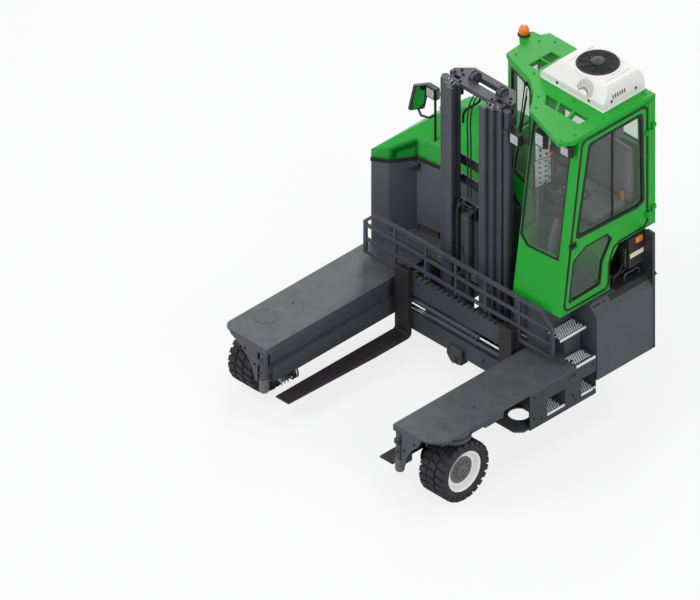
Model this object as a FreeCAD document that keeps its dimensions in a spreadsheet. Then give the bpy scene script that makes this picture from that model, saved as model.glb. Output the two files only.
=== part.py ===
import FreeCAD, Part
import os
import Sketcher
from FreeCAD import Placement, Rotation, Vector

# Multidirectional forklift: three steered wheels, two platform arms, a reaching mast between them.
# Frame: +X to the cab side, -Y the way the forks point, +Z up, ground at Z = 0,
# X = 0 the centre plane of the mast, Y = 0 the middle of the machine's length.

doc = FreeCAD.newDocument("Forklift")
sheet = doc.addObject("Spreadsheet::Sheet", "Sizes")
row_of_sheet = 0
nodes = {}


class Size:
    """A length with its spreadsheet formula and its present value."""

    def __init__(self, text, value):
        self.text = text
        self.value = value

    def __add__(self, other):
        other = as_size(other)
        return Size(f"({self.text} + {other.text})", self.value + other.value)

    def __sub__(self, other):
        other = as_size(other)
        return Size(f"({self.text} - {other.text})", self.value - other.value)

    def __mul__(self, other):
        other = as_size(other)
        return Size(f"({self.text} * {other.text})", self.value * other.value)

    def __truediv__(self, other):
        other = as_size(other)
        return Size(f"({self.text} / {other.text})", self.value / other.value)

    def __neg__(self):
        return Size(f"(0 - {self.text})", -self.value)

    def __radd__(self, other):
        return as_size(other) + self

    def __rsub__(self, other):
        return as_size(other) - self

    def __rmul__(self, other):
        return as_size(other) * self


def as_size(amount):
    return amount if isinstance(amount, Size) else Size(repr(float(amount)), float(amount))


def dim(alias, value, note):
    """One driving dimension: a named cell of the sheet."""
    global row_of_sheet
    row_of_sheet += 1
    sheet.set(f"A{row_of_sheet}", note)
    sheet.set(f"B{row_of_sheet}", str(value))
    sheet.setAlias(f"B{row_of_sheet}", alias)
    return Size(f"Sizes.{alias}", float(value))


# ---- driving dimensions, mm ----
half_width = dim("half_width", 1015, "centre plane to the outside of each arm")
arm_inner = dim("arm_inner", 603, "centre plane to the inside of each arm")
arm_front = dim("arm_front", -1062, "front of the platform arms")
frame_rear = dim("frame_rear", 1017, "rear of the frame")
deck_top = dim("deck_top", 563, "top of the platform arms")
deck_plate = dim("deck_plate", 16, "platform plate")
beam_bottom = dim("beam_bottom", 258, "underside of the arms")
rail_width = dim("rail_width", 42, "width of the reach rail beam")
rail_depth = dim("rail_depth", 30, "depth of the reach rail channel")
rail_low = dim("rail_low", 382, "lower edge of the reach rail channel")
rail_high = dim("rail_high", 506, "upper edge of the reach rail channel")
arm_rear = dim("arm_rear", 560, "rear end of the arms")
corner_left = dim("corner_left", 70, "outer front corner radius, left")
corner_right = dim("corner_right", 150, "outer front corner radius, right")
gap = dim("gap", 5, "clearance between moving pieces")
fit = dim("fit", 0.5, "radial clearance of shafts and rods")

wheel_line = dim("wheel_line", -788, "front axle line")
wheel_out = dim("wheel_out", 906.5, "centre plane to a front wheel")
tyre_diameter = dim("tyre_diameter", 457, "front tyre diameter")
tyre_width = dim("tyre_width", 229, "tyre width")
rim_diameter = dim("rim_diameter", 308, "front rim diameter")
rear_line = dim("rear_line", 715, "rear axle line")
rear_tyre = dim("rear_tyre", 559, "rear tyre diameter")
rear_rim = dim("rear_rim", 406, "rear rim diameter")
axle_radius = dim("axle_radius", 40, "radius of the wheel axles")
bay_rear = dim("bay_rear", -500, "rear wall of the front wheel bays")
running_gap = dim("running_gap", 0.3, "running gap of bearings, rollers and pads")
ring_height = dim("ring_height", 42, "height of the steering rings under the decks")
kingpin_radius = dim("kingpin_radius", 45, "radius of the kingpins")
motor_radius = dim("motor_radius", 78, "radius of the wheel motors")
shelf_low = dim("shelf_low", 262, "underside of the open shelf ahead of the step panel")
shelf_front = dim("shelf_front", -270, "front of that shelf")
panel_front = dim("panel_front", -174, "front of the step panel")
pocket_low = dim("pocket_low", 310, "floor of the step pockets")
pocket_high = dim("pocket_high", 440, "top of the step pockets")
pocket_depth = dim("pocket_depth", 150, "depth of the step pockets")
roller_radius = dim("roller_radius", 34, "radius of the guide rollers")
roller_low = dim("roller_low", 178, "foot of the guide rollers")

deck_rear_low = dim("deck_rear_low", 600, "underside of the rear deck")
deck_rear_top = dim("deck_rear_top", 640, "top of the rear deck")
deck_front = dim("deck_front", 413, "front edge of the rear deck")

column_out = dim("column_out", 287, "outside of the mast columns")
column_front = dim("column_front", 274, "front of the mast columns")
column_depth = dim("column_depth", 90, "depth of the mast rails")
rail_pitch = dim("rail_pitch", 50, "pitch of the nested mast rails")
rail_wide = dim("rail_wide", 58, "width of a mast rail")
mast_web = dim("mast_web", 16, "web of a mast rail")
mast_flange = dim("mast_flange", 20, "flange of a mast rail")
mast_bottom = dim("mast_bottom", 262, "foot of the mast rails")
mast_top = dim("mast_top", 2295, "top of the mast rails")
head_height = dim("head_height", 42, "height of the crosshead")
barrel_radius = dim("barrel_radius", 34, "radius of the lift cylinders")
head_rear = dim("head_rear", 513, "rear of the crosshead")

bar_half = dim("bar_half", 560, "half width of the fork bars")
bar_front = dim("bar_front", 157, "front face of the fork bars")
bar_depth = dim("bar_depth", 36, "thickness of the fork bars")
low_bar_low = dim("low_bar_low", 210, "underside of the lower fork bar")
low_bar_high = dim("low_bar_high", 348, "top of the lower fork bar")
top_bar_low = dim("top_bar_low", 490, "underside of the upper fork bar")
top_bar_high = dim("top_bar_high", 645, "top of the upper fork bar")
fork_out = dim("fork_out", 492.5, "centre plane to the middle of a fork")
fork_width = dim("fork_width", 123, "fork width")
fork_thick = dim("fork_thick", 42, "fork thickness")
fork_face = dim("fork_face", 109, "front face of the fork shanks")
fork_tip = dim("fork_tip", -1020, "fork tips")
fork_top = dim("fork_top", 188, "top of the fork blades")
shank_top = dim("shank_top", 700, "top of the fork shanks")

guard_half = dim("guard_half", 900, "half width of the load guard")
guard_front = dim("guard_front", 156, "front of the load guard")
guard_thick = dim("guard_thick", 18, "thickness of the load guard")
guard_low = dim("guard_low", 609, "underside of the load guard wings")
guard_high = dim("guard_high", 980, "top of the load guard")
guard_post = dim("guard_post", 870, "top of the load guard's end posts")

cab_out = dim("cab_out", 925, "outside of the cab door")
cab_left = dim("cab_left", -118, "left side of the cab")
cab_nose_left = dim("cab_nose_left", 480, "left side of the cab beside the mast")
cab_front = dim("cab_front", 199, "foot of the cab's front")
cab_rear = dim("cab_rear", 1106, "rear of the cab")
cab_floor = dim("cab_floor", 955, "underside of the cab")
cab_step = dim("cab_step", 1290, "underside of the cab behind the door's foot")
cab_top = dim("cab_top", 2305, "underside of the cab roof")
cab_lean = dim("cab_lean", 189, "how far the cab's front leans back")
cab_knee_x = dim("cab_knee_x", 215, "corner between the two slanting walls, across")
cab_knee_y = dim("cab_knee_y", 645, "corner between the two slanting walls, along")
cab_ear = dim("cab_ear", 430, "rear end of the narrow left wall beside the mast")
cab_hip = dim("cab_hip", 750, "front end of the cab's left wall")
cab_wall = dim("cab_wall", 40, "thickness of the cab walls and door")
roof_thick = dim("roof_thick", 40, "thickness of the cab roof")
glass = dim("glass", 6, "glass thickness")
glass_depth = dim("glass_depth", 14, "how deep the panes sit in the walls")
hinge_out = dim("hinge_out", 936, "door hinge line, across")
hinge_line = dim("hinge_line", 1075, "door hinge line, along")
wheel_x = dim("wheel_x", 672, "middle of the steering wheel, across")
wheel_y = dim("wheel_y", 520, "middle of the steering wheel, along")
wheel_z = dim("wheel_z", 1725, "middle of the steering wheel, height")

hood_line = dim("hood_line", 1235, "shut line of the hood lid")
hood_wall = dim("hood_wall", 30, "wall of the hood")
hood_right = dim("hood_right", -132, "right side of the hood")
hood_rear = dim("hood_rear", 1027, "rear of the hood")

tank_front = dim("tank_front", 462, "front of the side tank")
tank_low = dim("tank_low", 354, "underside of the side tank")
tank_high = dim("tank_high", 870, "shoulder of the side tank")
tank_inner = dim("tank_inner", 700, "inside of the side tank")
panel_thick = dim("panel_thick", 25, "thickness of the rear panel")
side_plate = dim("side_plate", 12, "thickness of the step panel and of thin side plates")

doc.recompute()


# ---- construction helpers ----
def bind(obj, prop, amount):
    """Set a property to a size, as a formula of the sheet."""
    obj.setExpression(prop, as_size(amount).text)


def place(obj, x, y, z):
    bind(obj, "Placement.Base.x", x)
    bind(obj, "Placement.Base.y", y)
    bind(obj, "Placement.Base.z", z)


def box(name, x0, x1, y0, y1, z0, z1):
    """A box between two corners."""
    piece = doc.addObject("Part::Box", name)
    bind(piece, "Length", as_size(x1) - x0)
    bind(piece, "Width", as_size(y1) - y0)
    bind(piece, "Height", as_size(z1) - z0)
    place(piece, x0, y0, z0)
    return piece


AXIS_TURN = {
    "X": Rotation(Vector(0, 1, 0), 90),
    "Y": Rotation(Vector(1, 0, 0), -90),
    "Z": Rotation(),
}


def cylinder(name, axis, radius, x, y, z, length):
    """A cylinder whose foot is at (x, y, z) and which runs along +axis."""
    piece = doc.addObject("Part::Cylinder", name)
    piece.Placement = Placement(Vector(), AXIS_TURN[axis])
    bind(piece, "Radius", radius)
    bind(piece, "Height", length)
    place(piece, x, y, z)
    return piece


def origin_plane(body, role):
    for feature in body.Origin.OriginFeatures:
        if feature.Role == role:
            return feature
    raise ValueError(role)


def outline_sketch(body, name, plane, points, start):
    """A closed sketch whose corners are tied to the sheet, on an origin plane moved by start."""
    sketch = body.newObject("Sketcher::SketchObject", name)
    sketch.AttachmentSupport = [(origin_plane(body, f"{plane}_Plane"), "")]
    sketch.MapMode = "FlatFace"
    corners = [(as_size(a), as_size(b)) for a, b in points]
    count = len(corners)
    for index in range(count):
        here = corners[index]
        there = corners[(index + 1) % count]
        sketch.addGeometry(Part.LineSegment(Vector(here[0].value, here[1].value, 0),
                                            Vector(there[0].value, there[1].value, 0)))
    for index in range(count):
        sketch.addConstraint(Sketcher.Constraint("Coincident", index, 2, (index + 1) % count, 1))
    for index in range(count):
        for kind, amount in zip(("DistanceX", "DistanceY"), corners[index]):
            number = sketch.addConstraint(Sketcher.Constraint(kind, -1, 1, index, 1, amount.value))
            sketch.setExpression(f"Constraints[{number}]", amount.text)
    shift = -as_size(start) if plane == "XZ" else as_size(start)
    sketch.setExpression("AttachmentOffset.Base.z", shift.text)
    return sketch


def prism(name, plane, points, start, end):
    """A body with one sketch padded from start to end along the plane's positive axis."""
    body = doc.addObject("PartDesign::Body", name)
    sketch = outline_sketch(body, f"{name}_outline", plane, points, start)
    pad = body.newObject("PartDesign::Pad", f"{name}_pad")
    pad.Profile = sketch
    pad.Reversed = plane == "XZ"
    bind(pad, "Length", as_size(end) - start)
    body.Tip = pad
    sketch.Visibility = False
    return body


def turned(name, axis, profile, x, y, z):
    """A body made by turning a profile of (radius, along) points round an axis through (x, y, z)."""
    body = doc.addObject("PartDesign::Body", name)
    sketch = outline_sketch(body, f"{name}_outline", "XZ", profile, 0)
    turn = body.newObject("PartDesign::Revolution", f"{name}_turn")
    turn.Profile = sketch
    turn.ReferenceAxis = (sketch, ["V_Axis"])
    turn.Angle = 360
    body.Tip = turn
    sketch.Visibility = False
    body.Placement = Placement(Vector(), AXIS_TURN[axis])
    place(body, x, y, z)
    return body


def fuse(name, pieces):
    joined = doc.addObject("Part::MultiFuse", name)
    joined.Shapes = pieces
    joined.Refine = True
    return joined


def cut(name, base, tools):
    """Base less every tool."""
    tool = tools[0] if len(tools) == 1 else fuse(f"{name}_tools", tools)
    result = doc.addObject("Part::Cut", name)
    result.Base = base
    result.Tool = tool
    result.Refine = True
    return result


def common(name, first, second):
    result = doc.addObject("Part::Common", name)
    result.Base = first
    result.Tool = second
    result.Refine = True
    return result


def bent_rod(name, radius, points):
    """Round rod through a few points, with ball corners."""
    pieces = []
    for number, (start, end) in enumerate(zip(points, points[1:])):
        rod = doc.addObject("Part::Cylinder", f"{name}_{number}")
        rod.Radius = radius
        run = Vector(*end) - Vector(*start)
        rod.Height = run.Length
        rod.Placement = Placement(Vector(*start), Rotation(Vector(0, 0, 1), run))
        ball = doc.addObject("Part::Sphere", f"{name}_ball_{number}")
        ball.Radius = radius
        ball.Placement = Placement(Vector(*end), Rotation())
        pieces += [rod, ball]
    return fuse(name, pieces)


def group(name, pieces):
    """Separate solids that share one node."""
    result = doc.addObject("Part::Compound", name)
    result.Links = pieces
    return result


def rounded(name, base, radius, wanted):
    """Round the edges of base that a test on the edge picks out."""
    doc.recompute()
    result = doc.addObject("Part::Fillet", name)
    result.Base = base
    picks = [number for number, edge in enumerate(base.Shape.Edges, 1) if wanted(edge)]
    result.Edges = [(number, as_size(radius).value, as_size(radius).value) for number in picks]
    return result


def runs_along(edge, direction):
    if len(edge.Vertexes) < 2:
        return False
    span = edge.Vertexes[1].Point - edge.Vertexes[0].Point
    return span.Length > 0 and abs(span.normalize().dot(direction)) > 0.999


def keep(name, obj):
    """Register a finished sub-part under its own name."""
    obj.Label = name
    nodes[name] = obj
    return obj


# ---- the frame ----
def build_chassis_frame():
    """Rear frame: two side boxes, the deck over the rear wheel and its kingpin bore."""
    inner = 340
    right_end = tank_inner
    left_box = box("frame_left", -half_width, -inner, arm_rear, frame_rear, beam_bottom, deck_rear_top)
    right_box = box("frame_right", inner, right_end, arm_rear, frame_rear, beam_bottom, deck_rear_top)
    deck = box("frame_deck", -half_width, right_end, deck_front, frame_rear, deck_rear_low, deck_rear_top)
    left_foot = box("frame_foot_left", -half_width, -arm_inner, deck_front, arm_rear, deck_top, deck_rear_low)
    right_foot = box("frame_foot_right", arm_inner, right_end, tank_front - 10, arm_rear, deck_top, deck_rear_low)
    body = fuse("frame_body", [left_box, right_box, deck, left_foot, right_foot])
    pin_hole = cylinder("frame_pin_hole", "Z", kingpin_radius + fit, 0, rear_line, deck_rear_low - 1, 38)
    keep("chassis_frame", cut("chassis_frame_cut", body, [pin_hole]))


def arm_side(side):
    return -1 if side == "left" else 1


def across(side, low, high):
    """The X span of something between two distances from the centre plane."""
    if side == "left":
        return -as_size(high), -as_size(low)
    return as_size(low), as_size(high)


def build_arm(side, corner, outer_box_front, deck_split, outer_rear):
    """Platform arm: deck plate, reach rail beam, front gusset and outer box, with a steering ring.

    Behind deck_split the plate carries the body and lies a running gap lower than the free deck.
    """
    sign = arm_side(side)
    under = deck_top - deck_plate
    plate = prism(f"{side}_deck", "XZ", [
        (sign * arm_inner, under),
        (sign * half_width, under),
        (sign * half_width, deck_top),
        (sign * (arm_inner + 46), deck_top),
        (sign * arm_inner, deck_top - 7),
    ], arm_front, outer_rear)

    def outer_front(edge):
        middle = edge.CenterOfMass
        return (runs_along(edge, Vector(0, 0, 1)) and middle.x * sign > arm_inner.value + 80
                and middle.y < arm_front.value + 50)

    plate = rounded(f"{side}_deck_round", plate, corner, outer_front)
    lower = box(f"{side}_deck_lower", *across(side, arm_inner - 1, half_width + 1), deck_split, outer_rear + 1,
                deck_top - running_gap, deck_top + 1)
    plate = cut(f"{side}_deck_cut", plate, [lower])
    beam_x = across(side, arm_inner, arm_inner + rail_width)
    roller_notch = arm_front + 70
    beam = box(f"{side}_beam", *beam_x, roller_notch, arm_rear, beam_bottom, under)
    channel_x = across(side, arm_inner - 1, arm_inner + rail_depth)
    channel = box(f"{side}_channel", *channel_x, arm_front - 1, arm_rear + 1, rail_low, rail_high)
    beam = cut(f"{side}_rail", beam, [channel])
    nose = box(f"{side}_nose", *across(side, arm_inner, arm_inner + 90), arm_front, roller_notch + 10,
               rail_high, under)
    cheek = box(f"{side}_cheek", *across(side, arm_inner + rail_width + roller_radius + gap, arm_inner + 92),
                arm_front, arm_front + 90, beam_bottom, under)
    gusset_edge = sign * (half_width - corner)
    gusset = prism(f"{side}_gusset", "XZ", [
        (sign * (arm_inner + 85), beam_bottom),
        (sign * (arm_inner + 105), beam_bottom),
        (sign * (arm_inner + 132), beam_bottom + 95),
        (sign * (arm_inner + 175), beam_bottom + 165),
        (sign * (arm_inner + 235), beam_bottom + 220),
        (gusset_edge, beam_bottom + 275),
        (gusset_edge, under),
        (sign * (arm_inner + 85), under),
    ], arm_front, arm_front + side_plate)
    holes = [
        cylinder(f"{side}_gusset_hole_low", "Y", 12, sign * (arm_inner + 107), arm_front - 1, 390, side_plate + 2),
        cylinder(f"{side}_gusset_hole_high", "Y", 12, sign * (arm_inner + 200), arm_front - 1, 478, side_plate + 2),
    ]
    gusset = cut(f"{side}_gusset_cut", gusset, holes)
    ring = cylinder(f"{side}_ring", "Z", 110, sign * wheel_out, wheel_line, under - ring_height, ring_height)
    ring_bore = cylinder(f"{side}_ring_bore", "Z", kingpin_radius + fit, sign * wheel_out, wheel_line,
                         under - ring_height - 1, ring_height - 1)
    ring = cut(f"{side}_ring_cut", ring, [ring_bore])
    outer = box(f"{side}_outer", *across(side, arm_inner + rail_width, half_width - side_plate), outer_box_front,
                outer_rear, beam_bottom, under)
    sleeve_x = sign * (arm_inner + rail_width)
    sleeve = cylinder(f"{side}_sleeve", "Z", roller_radius - 6, sleeve_x, arm_front + 24, 300, rail_high - 300)
    sleeve_bore = cylinder(f"{side}_sleeve_bore", "Z", 14 + fit, sleeve_x, arm_front + 24, 299, 160)
    tie = box(f"{side}_sleeve_tie", *across(side, arm_inner + 20, arm_inner + 80), arm_front + 36,
              roller_notch + 10, 330, 380)
    ear = box(f"{side}_sleeve_ear", *across(side, arm_inner + 25, arm_inner + 65), arm_front - 16,
              arm_front + 24, 420, 460)
    sleeve = cut(f"{side}_sleeve_cut", fuse(f"{side}_sleeve_body", [sleeve, tie, ear]), [sleeve_bore])
    return fuse(f"{side}_arm_body", [plate, beam, nose, cheek, gusset, ring, outer, sleeve])


pocket_spans = [(-13, 158), (310, 450)]


def build_arms():
    """Left arm with a closed outer box, right arm with step pockets and an open shelf ahead of them."""
    keep("left_arm", build_arm("left", corner_left, bay_rear, 340, arm_rear))
    panel_rear = tank_front - 10
    right = build_arm("right", corner_right, -25, 195, panel_rear)
    shelf = prism("right_shelf", "XY", [
        (arm_inner + rail_width, shelf_front),
        (half_width - 60, shelf_front),
        (half_width - 12, shelf_front + 50),
        (half_width - side_plate, -20),
        (arm_inner + rail_width, -20),
    ], shelf_low, shelf_low + 12)
    light_hole = cylinder("right_shelf_hole", "Z", 75, 835, -97, shelf_low - 1, 14)
    shelf = cut("right_shelf_cut", shelf, [light_hole])
    inner_foot = box("right_inner_foot", arm_inner, tank_inner, panel_rear - 1, arm_rear, deck_top - deck_plate,
                     deck_top - running_gap)
    right = fuse("right_arm_fuse", [right, shelf, inner_foot])
    pockets = [
        box(f"pocket_{number}", half_width - pocket_depth, half_width, low, high, pocket_low, pocket_high)
        for number, (low, high) in enumerate(pocket_spans)
    ]
    keep("right_arm", cut("right_arm_cut", right, pockets))


def build_step_panel():
    """Side plate of the right arm with two step pockets."""
    panel = box("panel_plate", half_width - side_plate, half_width, panel_front, tank_front - 10, beam_bottom,
                deck_top - deck_plate)
    mouths = [
        box(f"mouth_{number}", half_width - side_plate - 1, half_width + 1, low, high, pocket_low, pocket_high)
        for number, (low, high) in enumerate(pocket_spans)
    ]
    keep("step_panel", cut("step_panel_cut", panel, mouths))


def build_step_treads():
    """Aluminium treads in the pockets, on the deck and on the cab step."""
    treads = [
        box(f"tread_{number}", half_width - pocket_depth + 10, half_width, low, high, pocket_low, pocket_low + 8)
        for number, (low, high) in enumerate(pocket_spans)
    ]
    treads.append(box("tread_deck", half_width - 135, half_width, 266, tank_front - 12, deck_top, deck_top + 6))
    treads.append(box("tread_cab", 785, cab_out, 201, tank_front - 12, 760, 768))
    keep("step_treads", group("step_treads_group", treads))


def build_fuel_tank():
    """Side tank with a bevelled shoulder."""
    bevel = 70
    tank = prism("fuel_tank_body", "XZ", [
        (tank_inner, tank_low),
        (half_width, tank_low),
        (half_width, tank_high),
        (half_width - bevel, tank_high + bevel),
        (tank_inner, tank_high + bevel),
    ], tank_front, frame_rear - panel_thick)
    keep("fuel_tank", tank)


def build_rear_panel():
    """Upright rear plate behind the tank, with a corner post."""
    front = frame_rear - panel_thick
    plate = box("panel_rear_plate", tank_inner, half_width, front, frame_rear, tank_low, cab_step - 8)
    post = box("panel_rear_post", cab_out + 20, half_width, front, frame_rear, cab_step - 20, cab_step + 6)
    keep("rear_panel", fuse("rear_panel_body", [plate, post]))
    keep("service_box", box("service_box_case", cab_out - 93, cab_out + 7, 850, front, tank_high + 161,
                            cab_step - 17))


def build_cab_base():
    """Steel pedestal under the cab with the step riser."""
    rear = tank_front - 10
    front = box("base_front", cab_nose_left, 780, 205, rear, deck_rear_top, cab_floor)
    foot = box("base_foot", arm_inner + 5, 780, 205, deck_front, deck_top, deck_rear_top + 1)
    outer_foot = box("base_outer_foot", tank_inner, 780, 205, rear, deck_top, deck_rear_top + 1)
    riser = box("base_riser", 780, 870, 300, rear, deck_top, 760)
    back = box("base_back", arm_inner + 5, tank_inner, rear, arm_rear, deck_rear_top, cab_floor)
    keep("cab_base", fuse("cab_base_body", [front, foot, outer_foot, riser, back]))


def build_counterweight():
    """Cast counterweight behind the mast, under the raised rear of the cab."""
    low_part = box("weight_low", hood_right + 14, tank_inner, 690, frame_rear, deck_rear_top, 1180)
    top_part = box("weight_top", hood_right + 14, tank_inner, 765, frame_rear, 1170, cab_step)
    keep("counterweight", fuse("counterweight_body", [low_part, top_part]))


# ---- hood ----
def hood_plan(inset):
    return [
        (-half_width + inset, 348 + inset * 1.3),
        (-910 + inset * 0.6, 413 + inset),
        (-806 + inset * 0.6, 574 + inset),
        (-614, 601 + inset),
        (hood_right - inset, 601 + inset),
        (hood_right - inset, hood_rear - inset),
        (-half_width + inset, hood_rear - inset),
    ]


def lid_knuckles(name, low, high, places):
    """Hinge leaves on the hood's rear face with round knuckles on the lid's hinge line."""
    pieces = []
    for number, x in enumerate(places):
        pieces.append(box(f"{name}_leaf_{number}", x, x + 40, hood_rear - 1, hood_rear + 5, low, high))
        pieces.append(box(f"{name}_web_{number}", x, x + 40, hood_rear + 3, hood_rear + 12,
                          hood_line - 3, hood_line + 6))
        pieces.append(cylinder(f"{name}_round_{number}", "X", 9, x, hood_rear + 12, hood_line + 3, 40))
    return pieces


def build_hood_body():
    """Grey engine cover: upright walls round the engine bay."""
    outside = prism("hood_outside", "XY", hood_plan(as_size(0)), deck_rear_top, hood_line)
    inside = prism("hood_inside", "XY", hood_plan(hood_wall), deck_rear_top + 10, hood_line + 1)
    apron = prism("hood_apron", "XY", [
        (-half_width, 348),
        (-910, 413),
        (-806, 574),
        (-614, 601),
        (-614, arm_rear + 60),
        (-half_width, arm_rear + 60),
    ], deck_top, deck_rear_top)
    floor_cut = box("hood_floor_cut", -half_width - 1, 0, deck_front, frame_rear + 20, deck_top - 1, deck_rear_top)
    apron = cut("hood_apron_cut", apron, [floor_cut])
    shell = cut("hood_shell", outside, [inside])
    knuckles = lid_knuckles("body_knuckle", hood_line - 30, hood_line - 1, (-890, -300))
    keep("hood_body", fuse("hood_body_body", [shell, apron] + knuckles))


def build_engine():
    """Engine and pump as one block."""
    keep("engine_block", box("engine_box", -880, -300, 660, 960, deck_rear_top + 10, 1100))


def lid_solid(name, inset, rise):
    """The lid's outside or inside: its plan, its rear profile and its side profile together."""
    low = hood_line + running_gap if rise == 0 else hood_line
    plan = prism(f"{name}_plan", "XY", hood_plan(inset), low, 1800)
    rear = prism(f"{name}_rear", "XZ", [
        (-half_width, low),
        (-half_width, 1300 - rise),
        (-755, 1525 - rise),
        (-420, 1638 - rise),
        (hood_right, 1645 - rise),
        (hood_right, low),
    ], 300, 1100)
    side = prism(f"{name}_side", "YZ", [
        (340, low),
        (340, 1308 - rise),
        (600, 1390 - rise),
        (1030, 1650 - rise),
        (1030, low),
    ], -half_width, hood_right)
    return common(f"{name}_both", plan, common(f"{name}_profile", rear, side))


def build_hood_lid():
    """Green lid of the engine bay, a moulded shell, with the mirror and the pole lamp on its arms."""
    outside = lid_solid("lid_out", as_size(0), 0)
    inside = lid_solid("lid_in", hood_wall, 30)
    knuckles = lid_knuckles("lid_knuckle", hood_line + 7, hood_line + 40, (-849.5, -259.5))
    keep("hood_lid", fuse("hood_lid_fuse", [cut("hood_lid_cut", outside, [inside])] + knuckles))
    pole = bent_rod("mirror_pole", 9, [(-680, 622, 1388), (-680, 622, 1830)])
    arm = bent_rod("mirror_arm", 8, [(-680, 622, 1612), (-700, 585, 1597), (-750, 558, 1605), (-788, 554, 1668)])
    head = group("mirror_head", [box("mirror_plate", -11, 11, -58, 58, -98, 98)])
    head.Placement = Placement(Vector(-780, 568, 1742), Rotation(Vector(0.956, -0.289, -0.042),
                                                              Vector(0.29, 0.957, 0),
                                                              Vector(0.098, 0.18, 0.979), "XZY"))
    lamp = box("pole_lamp", -725, -635, 578, 618, 1770, 1860)
    frame = cut("mirror_trim", fuse("mirror_body", [pole, arm, head, lamp]), [outside])
    keep("mirror", frame)


# ---- mast ----
rail_step = mast_flange + gap
middle_out = column_out - rail_pitch
inner_out = middle_out - rail_pitch
middle_front = column_front - rail_step
inner_front = middle_front - rail_step
outer_web = middle_out + gap
nested_web = rail_wide - rail_pitch + gap + mast_web
cylinder_out = outer_web + mast_web + barrel_radius
cylinder_line = column_front + mast_flange + 2 + barrel_radius
rod_foot = mast_top - 153


def mast_rail(name, side, outside, web, front, pocket_rear, bottom, top):
    """One mast rail of I section. Its outer flanges nest in the next rail; web is the web's inner face."""
    x0, x1 = across(side, outside - rail_wide, outside)
    whole = box(f"{name}_whole", x0, x1, front, front + column_depth, bottom, top)
    hollow_front = front + mast_flange
    h0, h1 = across(side, outside - rail_wide - 1, web)
    hollow = box(f"{name}_hollow", h0, h1, hollow_front, front + column_depth - mast_flange, bottom - 1, top + 1)
    p0, p1 = across(side, web + mast_web, outside + 1)
    pocket = box(f"{name}_pocket", p0, p1, hollow_front, pocket_rear, bottom - 1, top + 1)
    return cut(name, whole, [hollow, pocket])


def rail_brace(name, half, lug_in, back, plate_front, z0, z1):
    """A plate behind a pair of rails, on lugs that reach from the rails' backs to the plate."""
    pieces = [box(f"{name}_plate", -half, half, plate_front, plate_front + 11, z0, z1)]
    if plate_front.value > back.value:
        for side in ("left", "right"):
            x0, x1 = across(side, lug_in, half)
            pieces.append(box(f"{name}_{side}_lug", x0, x1, back, plate_front, z0, z1))
    return pieces


def build_mast_outer():
    """Outer mast: two rails and three rear braces."""
    pieces = [
        mast_rail(f"outer_{side}", side, column_out, outer_web, column_front, column_front + column_depth + 1,
                  mast_bottom, mast_top)
        for side in ("left", "right")
    ]
    back = column_front + column_depth
    heights = [(mast_bottom, 420), (1150, 1230), (mast_top - 735, mast_top - 655)]
    for number, (z0, z1) in enumerate(heights):
        pieces += rail_brace(f"outer_brace_{number}", column_out, column_out - rail_wide, back, back + 32, z0, z1)
    keep("mast_outer", fuse("mast_outer_body", pieces))


def nest_rollers(name, web, next_web, front):
    """Rollers at the foot of a pair of rails, running in the next rails out."""
    pieces = []
    radius = column_depth / 2 - mast_flange - running_gap
    for side in ("left", "right"):
        r0, r1 = across(side, web - 2, next_web - gap)
        for number, z in enumerate((mast_bottom + 40, mast_bottom + 420)):
            pieces.append(cylinder(f"{name}_{side}_{number}", "X", radius, r0,
                                   front + rail_step + column_depth / 2, z, r1 - r0))
    return pieces


def build_mast_middle():
    """Middle mast with its braces, and a yoke plate each side that carries the cap a lift rod pushes."""
    pieces = [
        mast_rail(f"middle_{side}", side, middle_out, middle_out - nested_web, middle_front,
                  middle_front + column_depth - mast_flange, mast_bottom, mast_top)
        for side in ("left", "right")
    ]
    pieces += nest_rollers("middle_roller", middle_out - nested_web + mast_web, outer_web, middle_front)
    back = middle_front + column_depth
    plate_front = column_front + column_depth + 16
    half = column_out - rail_wide - gap
    z0 = mast_top - 145
    z1 = mast_top - 73
    pieces += rail_brace("middle_brace_low", half, middle_out - rail_wide + gap, back, plate_front, mast_bottom, 360)
    pieces += rail_brace("middle_brace_top", half, middle_out - rail_wide + gap, back, plate_front, mast_top - 855,
                         mast_top - 795)
    yoke_half = cylinder_out + 28
    for side in ("left", "right"):
        l0, l1 = across(side, middle_out - rail_wide + gap, half)
        pieces.append(box(f"middle_yoke_lug_{side}", l0, l1, back, plate_front, z0, z1))
        y0, y1 = across(side, middle_out - rail_wide, yoke_half)
        pieces.append(box(f"middle_yoke_plate_{side}", y0, y1, plate_front, plate_front + 11, z0, z1))
        a0, a1 = across(side, column_out + gap, yoke_half)
        pieces.append(box(f"middle_yoke_{side}", a0, a1, cylinder_line, plate_front + 11, z0, z1))
        pieces.append(cylinder(f"middle_cap_{side}", "Z", 28, arm_side(side) * cylinder_out, cylinder_line, rod_foot,
                               136))
    keep("mast_middle", fuse("mast_middle_body", pieces))


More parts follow.
